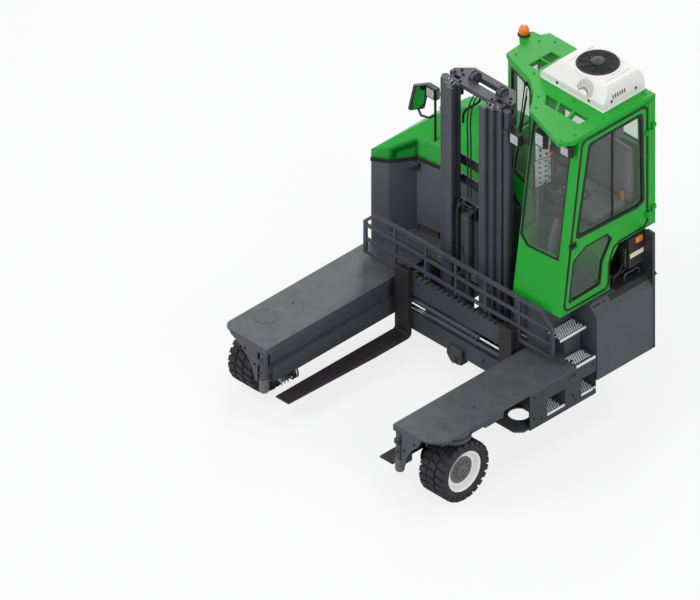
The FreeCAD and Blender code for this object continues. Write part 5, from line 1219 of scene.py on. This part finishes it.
door_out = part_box("door_glass")[1].x + 0.016
upper_pane = [(0.362, 1.533), (0.485, 2.240), (0.975, 2.240), (0.988, 1.525), (0.932, 1.505)]
lower_pane = [(0.286, 1.036), (0.330, 1.354), (0.447, 1.420), (0.647, 1.420), (0.690, 1.367), (0.599, 1.217),
    (0.580, 1.046)]
seal("door_upper_seal", upper_pane, on_side(door_out), -0.018, 0.0035, 0.014, 0.008, 0.050, 0.034, "door")
seal("door_lower_seal", lower_pane, on_side(door_out), -0.018, 0.0030, 0.006, 0.005, 0.040, 0.014, "door")
divider = bmesh.new()
rounded_block(divider, (door_out - 0.016, 0.700, 1.530), (door_out - 0.004, 0.716, 2.232), 0.002)
place_piece("door_window_divider", divider, "door", rubber)
edge_seal = [(0.2265, 0.972), (0.4072, 2.300), (1.036, 2.300), (1.036, 1.302), (0.770, 1.298), (0.713, 1.275),
    (0.675, 1.180), (0.664, 0.972)]
seal("door_edge_seal", edge_seal, on_side(door_out), -0.006, 0.0030, -0.001, 0.017, 0.040, 0.050, "door")
front_pane = [(0.490, 1.400), (0.560, 1.342), (0.853, 1.362), (0.853, 2.280), (0.490, 2.280)]
seal("windshield_seal", front_pane, on_front, -0.012, 0.0020, 0.004, 0.005, 0.045, 0.009, "chassis")
nose_line = [(0.2990, 1.420), (0.4092, 2.190), (0.418, 2.190), (0.418, 1.420)]
seal("nose_window_seal", nose_line, on_side(0.480), -0.010, 0.0010, 0.004, 0.006, 0.012, 0.008, "chassis")
seal("left_window_seal", [(0.800, 1.680), (1.040, 1.680), (1.040, 2.240), (0.800, 2.240)],
    lambda p, d: Vector((-0.118 - d, p[0], p[1])), -0.012, 0.003, 0.006, 0.008, 0.040, 0.014, "chassis")
rear_pane = [(0.060, 1.500), (0.200, 1.500), (0.553, 1.880), (0.850, 1.880), (0.850, 2.250), (0.060, 2.250)]
seal("rear_window_seal", rear_pane,
    lambda p, d: Vector((p[0], 1.106 + d, p[1])), -0.012, 0.003, 0.006, 0.008, 0.040, 0.014, "chassis")
for number, (x0, y0, x1, y1) in enumerate(((-0.068, 0.734, 0.187, 0.654), (0.243, 0.6222, 0.445, 0.4591))):
    start, end = Vector((x0, y0, 0)), Vector((x1, y1, 0))
    along = (end - start).normalized()
    outward = Vector((along.y, -along.x, 0))
    wide = (end - start).length
    seal(f"slant_window_seal_{number}", [(0, 1.420), (wide, 1.420), (wide, 2.250), (0, 2.250)],
        lambda p, d: start + along * p[0] + Vector((0, 0, p[1])) + outward * d,
        -0.012, 0.003, 0.006, 0.006, 0.035, 0.014, "chassis")

material, tree, coords = start_material("grey_tinted_safety_glass")
# Toughened soda-lime glass, barely tinted: clear straight on, pale and glossy at a grazing angle.
clear = add(tree, "ShaderNodeBsdfTransparent", {"Color": linear("f4f8f5")})
film = spread(tree, noise(tree, coords, 120, 5.0), 0.02, 0.05)
skin = add(tree, "ShaderNodeBsdfPrincipled", {"Base Color": linear("a8acaa"), "Roughness": film, "IOR": 1.52})
sheen = add(tree, "ShaderNodeFresnel", {"IOR": 1.52}).outputs[0]
share = add(tree, "ShaderNodeMath", {0: sheen, 1: 0.10}, operation="ADD", use_clamp=True).outputs[0]
inward = add(tree, "ShaderNodeNewGeometry").outputs["Backfacing"]
facing_out = add(tree, "ShaderNodeMath", {0: 1.0, 1: inward}, operation="SUBTRACT").outputs[0]
share = add(tree, "ShaderNodeMath", {0: share, 1: facing_out}, operation="MULTIPLY").outputs[0]
pane = add(tree, "ShaderNodeMixShader", {0: share, 1: clear.outputs[0], 2: skin.outputs[0]})
add(tree, "ShaderNodeOutputMaterial", {"Surface": pane.outputs[0]})
cab_glass = material
dress(["cab_windows", "door_glass"], cab_glass)

# Roof glazing lies in the five slots, and bolts hold the plate round its edge.
slot_panes = bmesh.new()
for outline in ([(0.410, 0.588), (0.485, 0.500), (0.575, 0.500), (0.520, 0.588)],
        [(0.545, 0.588), (0.600, 0.500), (0.690, 0.500), (0.660, 0.588)],
        [(0.685, 0.588), (0.715, 0.500), (0.805, 0.500), (0.813, 0.588)],
        [(0.085, 0.748), (0.165, 0.748), (0.165, 0.850), (0.085, 0.850)],
        [(0.085, 0.866), (0.165, 0.866), (0.165, 0.960), (0.085, 0.960)]):
    low_ring = [slot_panes.verts.new((x, y, roof_low.z + 0.008)) for x, y in outline]
    base = slot_panes.faces.new(low_ring)
    grown = bmesh.ops.extrude_face_region(slot_panes, geom=[base])
    bmesh.ops.translate(slot_panes, verts=[v for v in grown["geom"] if isinstance(v, bmesh.types.BMVert)],
        vec=(0, 0, 0.006))
tidy_normals(slot_panes)
place_piece("roof_slot_panes", slot_panes, "chassis", cab_glass)
roof_bolts = bmesh.new()
for x, y in ((0.880, 0.385), (0.880, 0.660), (0.880, 1.060), (0.600, 0.660), (0.470, 0.430), (0.390, 0.530),
        (0.180, 0.700), (-0.060, 0.770), (-0.060, 0.990), (0.020, 1.060), (0.860, 0.275)):
    bolt(roof_bolts, (x, y, roof_high.z), (0, 0, 1), 0.007)
place_piece("roof_bolts", roof_bolts, "chassis", green_gloss, bevel=0.0006)
gutter = bmesh.new()
rounded_block(gutter, (roof_high.x - 0.004, 0.345, roof_low.z + 0.006),
    (roof_high.x + 0.003, 1.095, roof_low.z + 0.014), 0.001, 2)
place_piece("roof_drip_edge", gutter, "chassis", green_gloss)

# Door furniture: a black moulded grab handle with a round lock, and the hinges' bolts.
low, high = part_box("door_handle")
grip = bmesh.new()
rounded_block(grip, (low.x, low.y - 0.004, low.z - 0.010),
    (low.x + 0.007, high.y + 0.004, high.z + 0.010), 0.003)
rounded_block(grip, (low.x + 0.012, low.y + 0.002, low.z + 0.004),
    (high.x, high.y - 0.012, high.z - 0.004), 0.005, 4)
rod(grip, (low.x + 0.004, high.y - 0.014, (low.z + high.z) / 2),
    (high.x - 0.004, high.y - 0.014, (low.z + high.z) / 2), 0.009, 24)
rod(grip, (low.x + 0.004, low.y + 0.010, (low.z + high.z) / 2),
    (high.x - 0.006, low.y + 0.010, (low.z + high.z) / 2), 0.007, 20)
tidy_normals(grip)
piece = place_piece("door_pull_handle", grip, "door", black_plastic, bevel=0.001)
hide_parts("door_handle")
hinge_bolts = bmesh.new()
for z in (1.397, 2.067):
    for y in (1.012, 1.026):
        bolt(hinge_bolts, (0.938, y, z), (1, 0, 0), 0.0045)
place_piece("door_hinge_bolts", hinge_bolts, "door", green_gloss, bevel=0.0004)

# Mast-side wiper: black spring arms and blade, on a spindle above the slanting window.
wiper = bmesh.new()
out = Vector((-0.30, -0.954, 0))
low_end = Vector((0.000, 0.7128, 1.480))
high_end = Vector((0.160, 0.6623, 2.170))
middle = (low_end + high_end) / 2
foot = Vector((0.150, 0.6655, 2.262))
rod(wiper, foot, foot + out * 0.022, 0.014, 24)
rod(wiper, foot + out * 0.018, middle + out * 0.026, 0.005, 12, 0.0035)
rod(wiper, foot + out * 0.018 + Vector((0.022, 0, -0.02)),
    middle + out * 0.024 + Vector((0.012, 0, 0.04)), 0.0035, 12)
rod(wiper, low_end + out * 0.012, high_end + out * 0.012, 0.007, 12)
rod(wiper, middle + out * 0.012, middle + out * 0.028, 0.005, 10)
tidy_normals(wiper)
place_piece("mast_side_wiper", wiper, "chassis", black_plastic, bevel=0.0008)

# Under the outer edge of the right deck: a bent mudguard bracket with pressed ribs, bolted to the deck.
guard_plates = bmesh.new()
for y0, y1, drop in ((-0.985, -0.860, 0.030), (-0.860, -0.700, 0.046), (-0.700, -0.575, 0.062),
        (-0.575, -0.400, 0.080)):
    block(guard_plates, (0.985, y0, 0.550 - drop), (0.991, y1 + 0.001, 0.552))
    block(guard_plates, (0.945, y0, 0.550 - drop), (0.991, y1 + 0.001, 0.556 - drop))
    if drop < 0.07:
        block(guard_plates, (0.9905, y0 + 0.030, 0.520 - drop * 0.2),
            (0.9935, y1 - 0.030, 0.532 - drop * 0.2))
place_piece("right_mudguard_bracket", guard_plates, "chassis", mast_paint, bevel=0.0015)
guard_bolts = bmesh.new()
for y in (-0.960, -0.780, -0.640, -0.440):
    bolt(guard_bolts, (0.991, y, 0.541), (1, 0, 0), 0.006)
place_piece("mudguard_bolts", guard_bolts, "chassis", black_steel, bevel=0.0005)


# ---- cab inside ----
# Suspension seat in cloth-backed grey vinyl, a side console with levers, a leaning column with its
# wheel, pedals, and slotted aluminium guard plates behind the windscreen.
# Rotary-moulded plastic and textured steel covers in mid grey, with a fine leather-like grain.
trim = surface("dark_trim_sheet_and_moulding", ("56555a", "64636a"), (90,), (15,),
    (0.5, 0.65), (1.6, 3.0), 0.12)
dress(["controls", "steering_wheel", "seat_base"], trim)
base_low, base_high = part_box("seat_base")
boot = bmesh.new()
folds = 5
fold_height = (base_high.z - base_low.z - 0.024) / folds
for fold in range(folds):
    low_z = base_low.z + 0.012 + fold * fold_height
    high_z = low_z + fold_height
    rounded_block(boot, (base_low.x + 0.006, base_low.y + 0.006, low_z),
        (base_high.x - 0.006, base_high.y - 0.006, high_z), 0.006, 3)
rounded_block(boot, (base_low.x, base_low.y, base_low.z),
    (base_high.x, base_high.y, base_low.z + 0.016), 0.004)
rounded_block(boot, (base_low.x, base_low.y, base_high.z - 0.016),
    (base_high.x, base_high.y, base_high.z), 0.004)
piece = place_piece("seat_suspension_bellows", boot, "chassis", trim)
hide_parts("seat_base")
# PVC-coated knit over foam: faded mid grey with an embossed grain about 1.5 mm across.
vinyl = surface("grey_embossed_seat_vinyl", ("6a666a", "7a767b"), (130, 5.0), (60,), (0.48, 0.62),
    (1.5, 3.0, 0.7), 0.18, Sheen_Weight=0.15)
cushion_low, cushion_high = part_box("seat_cushions")


def upholstered(name, low, high, crown, channels, along):
    """A foam block with crowned faces: its cover is pulled down in channels that run the other way."""
    low, high = Vector(low), Vector(high)
    mesh = bmesh.new()
    rounded_block(mesh, low, high, 0.030, 5)
    bmesh.ops.subdivide_edges(mesh, edges=[e for e in mesh.edges if e.calc_length() > 0.06], cuts=14,
        use_grid_fill=True)
    middle, size = (low + high) / 2, (high - low) / 2
    for vert in mesh.verts:
        share = Vector([(vert.co[i] - middle[i]) / size[i] for i in range(3)])
        face = 1 if along == 2 else 2
        other = [i for i in range(3) if i not in (face, along)][0]
        edge = max(0.0, 1 - share[other] ** 4) * max(0.0, 1 - share[along] ** 4)
        if abs(share[face]) > 0.4:
            sunk = crown * (1 - edge) + 0.006 * edge
            for place in channels:
                sunk += 0.010 * edge * math.exp(-((share[along] - place) / 0.035) ** 2)
            sunk += 0.009 * edge * math.exp(-((abs(share[other]) - 0.62) / 0.05) ** 2)
            vert.co[face] -= math.copysign(sunk, share[face])
    bmesh.ops.triangulate(mesh, faces=[f for f in mesh.faces if len(f.verts) > 4])
    tidy_normals(mesh)
    piece = place_piece(name, mesh, "chassis", vinyl, smooth=60)
    smoother = piece.modifiers.new("soft_cover", "SUBSURF")
    smoother.levels = smoother.render_levels = 1
    return piece


squab = upholstered("seat_squab", (cushion_low.x + 0.012, cushion_low.y + 0.006, cushion_low.z + 0.004),
    (cushion_high.x - 0.012, 0.9235, 1.5450), 0.020, (-0.45, 0.05, 0.5), 1)
upholstered("seat_back_rest", (cushion_low.x + 0.022, 0.929, cushion_low.z + 0.030),
    (cushion_high.x - 0.022, cushion_high.y - 0.002, 1.900), 0.022, (-0.55, -0.05, 0.45), 2)
upholstered("seat_head_rest", (0.520, 0.940, 1.930), (0.730, 1.030, cushion_high.z - 0.004), 0.014, (), 2)
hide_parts("seat_cushions")
seat_bits = bmesh.new()
for x in (0.585, 0.665):
    rod(seat_bits, (x, 0.985, 1.880), (x, 0.985, 1.945), 0.007, 16)
place_piece("head_rest_posts", seat_bits, "chassis", chrome, bevel=0.0006)
belt = bmesh.new()
for x in (0.418, 0.822):
    rounded_block(belt, (x - 0.012, 0.880, 1.535), (x + 0.012, 0.905, 1.600), 0.004)
place_piece("seat_belt_buckles", belt, "chassis", amber)

console_top = 1.560
levers = bmesh.new()
for number in range(5):
    foot = Vector((0.215 + number * 0.024, 0.775 + (number % 2) * 0.012, console_top))
    rod(levers, foot - Vector((0, 0, 0.002)), foot + Vector((0, 0, 0.010)), 0.010, 20, 0.006)
    rod(levers, foot + Vector((0, 0, 0.008)), foot + Vector((0, 0.004, 0.085)), 0.003, 12)
    bmesh.ops.create_uvsphere(levers, u_segments=20, v_segments=12, radius=0.012,
        matrix=Matrix.Translation(foot + Vector((0, 0.005, 0.094))))
rounded_block(levers, (0.205, 0.860, console_top), (0.325, 0.985, console_top + 0.018), 0.008)
tidy_normals(levers)
place_piece("console_levers", levers, "chassis", black_plastic, smooth=45)
panel = bmesh.new()
rounded_block(panel, (0.196, 0.738, console_top - 0.001), (0.334, 0.850, console_top + 0.003), 0.0015)
place_piece("console_top_plate", panel, "chassis", trim)

# A laser-cut bright aluminium sheet stands behind the windscreen at the corner post, with a plain plate
# of switches over it.
slotted = bmesh.new()


def slotted_plate(mesh, corner, right, up, wide, tall, rows, thick=0.003):
    """A sheet with rows of long slots, built as the bars that the slots leave."""
    right, up = Vector(right).normalized(), Vector(up).normalized()
    normal = right.cross(up).normalized()
    corner = Vector(corner)
    turn = Matrix((right, up, normal)).transposed()

    def bar(x0, y0, x1, y1):
        middle = corner + right * ((x0 + x1) / 2) + up * ((y0 + y1) / 2)
        block(mesh, *around(middle, ((x1 - x0) / 2, (y1 - y0) / 2, thick / 2)), turn)

    pitch = tall / rows
    for row in range(rows + 1):
        bar(0, row * pitch - 0.013 if row else 0, wide, row * pitch + 0.013 if row < rows else tall)
    for x0, x1 in ((0, 0.024), (wide / 2 - 0.012, wide / 2 + 0.012), (wide - 0.024, wide)):
        bar(x0, 0, x1, tall)


slotted_plate(slotted, (0.532, 0.362, 1.755), (0.25, 0.97, 0.0), (-0.03, 0.0, 1.0), 0.120, 0.205, 5)
switch_right = Vector((0.25, 0.97, 0.0)).normalized()
switch_turn = Matrix((switch_right, Vector((-0.97, 0.25, 0.0)).normalized(), Vector((0, 0, 1)))).transposed()
switch_middle = Vector((0.532, 0.362, 2.050)) + switch_right * 0.060
block(slotted, switch_middle - Vector((0.058, 0.002, 0.075)), switch_middle + Vector((0.058, 0.002, 0.075)),
    switch_turn)
place_piece("slotted_corner_plates", slotted, "chassis", polished)
switches = bmesh.new()
for column in range(2):
    for row in range(3):
        spot = switch_middle + switch_right * (-0.026 + column * 0.050) + Vector((0, 0, -0.048 + row * 0.046))
        rod(switches, spot, spot + Vector((0.97, -0.25, 0.0)).normalized() * 0.012, 0.010, 20, 0.008)
place_piece("corner_switches", switches, "chassis", black_plastic)

# A grey lining covers the inside of the cab's corner post and the floor has a ribbed mat. A dark
# display and a red stop button on its box stand behind the windscreen.
lining = bmesh.new()
rounded_block(lining, (0.5205, 0.395, 1.010), (0.5265, 0.440, 2.280), 0.002)
tidy_normals(lining)
place_piece("corner_post_lining", lining, "chassis", trim)
mat = bmesh.new()
rounded_block(mat, (0.530, 0.262, 0.9955), (0.868, 0.622, 1.0010), 0.002)
for rib in range(17):
    block(mat, (0.536, 0.272 + rib * 0.020, 1.0005), (0.862, 0.282 + rib * 0.020, 1.0035))
place_piece("ribbed_floor_mat", mat, "chassis", trim)
display = bmesh.new()
rounded_block(display, (0.700, 0.372, 1.640), (0.820, 0.398, 1.750), 0.008)
rod(display, (0.760, 0.385, 1.560), (0.760, 0.385, 1.650), 0.010, 16)
rounded_block(display, (0.520, 0.400, 1.560), (0.830, 0.440, 1.590), 0.008)
tidy_normals(display)
place_piece("instrument_display", display, "chassis", black_plastic)
screen = bmesh.new()
rounded_block(screen, (0.708, 0.3975, 1.650), (0.812, 0.3995, 1.742), 0.0008, 2)
place_piece("instrument_screen", screen, "chassis", black_steel)
# Injection-moulded ABS in signal red: smooth, with slight colour unevenness.
red_plastic = surface("red_moulded_switch_plastic", ("b01c18", "c82a22"), (30,), (10,),
    (0.3, 0.4), (2.0,), 0.05)
stop = bmesh.new()
lathe(stop, (0.665, 0.387, 2.105), (0, -1, 0), [(0, 0), (0.016, 0), (0.018, 0.004), (0.018, 0.012),
    (0.014, 0.017), (0, 0.018)], 28)
tidy_normals(stop)
place_piece("emergency_stop_button", stop, "chassis", red_plastic, smooth=30)
stop_box = bmesh.new()
rounded_block(stop_box, (0.635, 0.3875, 2.070), (0.695, 0.425, 2.140), 0.006)
place_piece("emergency_stop_box", stop_box, "chassis", black_plastic)

# Pedals: ribbed rubber-covered pads on steel arms at the front of the floor.
pedals = bmesh.new()
arms = bmesh.new()
for x, wide in ((0.800, 0.028), (0.575, 0.034)):
    tilt = Matrix.Rotation(math.radians(-38), 3, "X")
    middle = Vector((x, 0.330, 1.075))
    block(pedals, *around(middle, (wide, 0.050, 0.004)), tilt)
    for step in range(5):
        spot = middle + tilt @ Vector((0, -0.036 + step * 0.018, 0.0055))
        block(pedals, *around(spot, (wide - 0.004, 0.003, 0.0015)), tilt)
    rod(arms, (x, 0.300, 1.000), middle + tilt @ Vector((0, 0, -0.003)), 0.008, 14)
place_piece("pedal_pads", pedals, "chassis", rubber, bevel=0.0008)
place_piece("pedal_arms", arms, "chassis", black_steel, bevel=0.0008)

# Steering wheel: a padded ring on two spokes round a domed hub, on the leaning column.
wheel_low, wheel_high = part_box("steering_wheel")
hub_spot = Vector(((wheel_low.x + wheel_high.x) / 2, 0.520, 1.725))
axis = Vector((0, 0.34202, 0.93969))
flat = axis.to_track_quat("Z", "Y").to_matrix()
ring = bmesh.new()
section = [(0.150 + 0.0138 * math.cos(a), 0.0138 * math.sin(a))
    for a in [math.tau * k / 16 for k in range(16)]]
lathe(ring, hub_spot, axis, section, 64, True)
lathe(ring, hub_spot, axis, [(0, -0.020), (0.036, -0.020), (0.040, -0.014), (0.040, 0.002), (0.034, 0.009),
    (0.018, 0.0105), (0, 0.0105)], 36)
for angle in (0, math.pi):
    start = hub_spot + flat @ Vector((math.cos(angle) * 0.030, math.sin(angle) * 0.030, -0.001))
    end = hub_spot + flat @ Vector((math.cos(angle) * 0.145, math.sin(angle) * 0.145, -0.001))
    rod(ring, start, end, 0.0075, 14, 0.0055)
tidy_normals(ring)
piece = place_piece("steering_wheel_rim", ring, "steering", black_plastic, smooth=40)
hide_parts("steering_wheel")


# ---- roof unit ----
# Cooling unit: a vacuum-formed white plastic case screwed down over the roof, with a black fan
# guard of rings and ribs over its blades, a slatted vent in its side and a swirl vent in its front.
case_white = painted("white_vacuum_formed_abs", ("e6e2df", "eeebe8"), "c4c0b8", 3, 0.4, 0.05, 0.12)
# Glass-filled nylon: black, slightly rough from the mould.
fan_plastic = surface("plain_black_fan_plastic", ("17181a", "232427"), (40,), (12,),
    (0.42, 0.55), (1.5, 3.0), 0.08)
softened("cooling_unit_case", "ac_case", "chassis", case_white, 0.016, segments=4)
case_low, case_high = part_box("ac_case")
fan_low, fan_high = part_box("ac_fan_guard")
fan_middle = Vector(((fan_low.x + fan_high.x) / 2, (fan_low.y + fan_high.y) / 2, fan_low.z))
fan_radius = (fan_high.x - fan_low.x) / 2
guard = bmesh.new()
lathe(guard, fan_middle, (0, 0, 1), [(fan_radius - 0.016, 0), (fan_radius, 0), (fan_radius, 0.010),
    (fan_radius - 0.004, 0.016), (fan_radius - 0.012, 0.018), (fan_radius - 0.016, 0.014)], 64, True)
for count in range(7):
    radius = 0.058 + count * 0.0115
    height = 0.024 - 0.007 * (count / 6) ** 2
    lathe(guard, fan_middle, (0, 0, 1), [(radius - 0.0013, height - 0.003), (radius + 0.0013, height - 0.003),
        (radius + 0.0013, height), (radius - 0.0013, height)], 48, True)
lathe(guard, fan_middle, (0, 0, 1), [(0, 0.014), (0.048, 0.014), (0.052, 0.022), (0.050, 0.027),
    (0.036, 0.0295), (0.010, 0.0295), (0.008, 0.027), (0, 0.027)], 40)
for step in range(16):
    angle = math.tau * step / 16
    way = Vector((math.cos(angle), math.sin(angle), 0))
    rod(guard, fan_middle + way * 0.048 + Vector((0, 0, 0.019)),
        fan_middle + way * (fan_radius - 0.010) + Vector((0, 0, 0.013)), 0.0022, 8)
tidy_normals(guard)
piece = place_piece("fan_guard_grille", guard, "chassis", fan_plastic, smooth=30)
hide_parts("ac_fan_guard")
fan = bmesh.new()
lathe(fan, fan_middle, (0, 0, 1), [(0, 0.0005), (fan_radius - 0.014, 0.0005), (fan_radius - 0.014, 0.0025),
    (0, 0.0025)], 48)
for step in range(9):
    angle = math.tau * step / 9
    turn = Matrix.Rotation(angle, 3, "Z") @ Matrix.Rotation(math.radians(12), 3, "X")
    spot = fan_middle + Matrix.Rotation(angle, 3, "Z") @ Vector((0.088, 0, 0.009))
    block(fan, *around(spot, (0.042, 0.020, 0.0008)), turn)
tidy_normals(fan)
place_piece("fan_blades", fan, "chassis", fan_plastic, smooth=30, bevel=0.0004)
screws = bmesh.new()
for x, y, z, out in ((case_high.x, 0.780, case_low.z + 0.055, (1, 0, 0)),
        (case_high.x, 1.010, case_low.z + 0.055, (1, 0, 0)),
        (0.400, case_low.y, case_low.z + 0.035, (0, -1, 0)),
        (0.700, case_low.y, case_low.z + 0.035, (0, -1, 0)),
        (0.400, case_high.y, case_low.z + 0.035, (0, 1, 0)),
        (0.700, case_high.y, case_low.z + 0.035, (0, 1, 0))):
    spot = Vector((x, y, z))
    lathe(screws, spot, out, [(0, -0.004), (0.011, -0.004), (0.011, 0.001), (0.009, 0.003), (0.004, 0.003),
        (0.003, 0.001), (0, 0.001)], 20)
tidy_normals(screws)
place_piece("cooling_unit_screws", screws, "chassis", fan_plastic, smooth=30)
slats = bmesh.new()
for step in range(6):
    y = 0.790 + step * 0.022
    rounded_block(slats, (case_high.x - 0.004, y, case_low.z + 0.070),
        (case_high.x + 0.0015, y + 0.010, case_low.z + 0.104), 0.001, 2)
place_piece("cooling_unit_vent_slats", slats, "chassis", fan_plastic)
swirl = bmesh.new()
slope_up = Vector((0, 0.056, 0.095)).normalized()
swirl_foot = Vector((0.640, 0.699, case_low.z + 0.060)) - slope_up * 0.012
slope_out = Vector((1, 0, 0)).cross(slope_up)
for step in range(17):
    angle = math.radians(20 + step * 8)
    length = 0.022 + 0.052 * math.sin(math.pi * (step + 1) / 18)
    for start, share in ((0.044, 0.35), (0.050 + length * 0.35, 0.65)):
        radial = Vector((math.cos(angle), 0, 0)) + slope_up * math.sin(angle)
        across = slope_out.cross(radial)
        spot = swirl_foot + radial * (start + length * share / 2) - slope_out * 0.0002
        block(swirl, *around(spot, (length * share / 2, 0.0019, 0.0012)),
            Matrix((radial, across, slope_out)).transposed())
place_piece("cooling_unit_swirl_vent", swirl, "chassis", fan_plastic, bevel=0.0003)
surround = bmesh.new()
lathe(surround, fan_middle, (0, 0, 1), [(fan_radius + 0.001, -0.002), (fan_radius + 0.020, -0.002),
    (fan_radius + 0.018, 0.003), (fan_radius + 0.010, 0.009), (fan_radius + 0.003, 0.009),
    (fan_radius + 0.001, 0.006)], 64, True)
for x in (0.392, 0.742):
    rounded_block(surround, (x, 0.800, case_high.z - 0.004),
        (x + 0.018, 1.035, case_high.z + 0.006), 0.005, 3)
tidy_normals(surround)
place_piece("fan_surround", surround, "chassis", case_white, smooth=40)
flange = bmesh.new()
rounded_block(flange, (case_low.x + 0.012, case_low.y - 0.004, case_low.z - 0.0005),
    (case_high.x + 0.005, case_high.y + 0.004, case_low.z + 0.012), 0.004)
place_piece("cooling_unit_base_flange", flange, "chassis", case_white)


# ---- beacon and work lamps ----
# Flashing beacon: ribbed amber lens on a black plastic base, on the roof's side tab.
beacon_low, beacon_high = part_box("beacon")
middle = (beacon_low + beacon_high) / 2
foot = Vector((middle.x, middle.y, beacon_low.z))
tall = beacon_high.z - beacon_low.z
base = bmesh.new()
lathe(base, foot, (0, 0, 1), [(0, 0), (0.044, 0), (0.044, 0.008), (0.041, 0.014), (0.037, 0.016), (0, 0.016)],
    40)
tidy_normals(base)
piece = place_piece("beacon_base", base, "chassis", black_plastic, smooth=30)
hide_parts("beacon")
lens = bmesh.new()
ribs = []
for count in range(5):
    z = 0.016 + count * 0.006
    ribs += [(0.0335, z), (0.0360, z + 0.001), (0.0360, z + 0.004), (0.0335, z + 0.005)]
lathe(lens, foot, (0, 0, 1), [(0, 0.0155)] + ribs + [(0.0335, 0.048), (0.031, 0.058), (0.024, 0.067),
    (0.013, 0.0735), (0, tall)], 40)
tidy_normals(lens)
# Clear orange polycarbonate moulding: glossy, a little light passes through it.
beacon_amber = surface("amber_polycarbonate_lens", ("f0730f", "f98a1c"), (30,), (12,), (0.12, 0.25),
    Subsurface_Weight=0.25, Coat_Weight=0.4)
place_piece("beacon_lens", lens, "chassis", beacon_amber, smooth=35)

softened("work_lamp_cases", "work_lamps", "chassis", powder, 0.008, segments=3)
lamp_face("middle_work_lamp", (0.630, 0.2985, 2.225), (0, -1, 0), 0.042, 0.052, "chassis")
lamp_face("outer_work_lamp", (0.845, 0.3235, 2.2275), (0, -1, 0), 0.042, 0.042, "chassis")
lamp_face("inner_work_lamp", (0.385, 0.3055, 2.100), (0, -1, 0), 0.042, 0.042, "chassis")
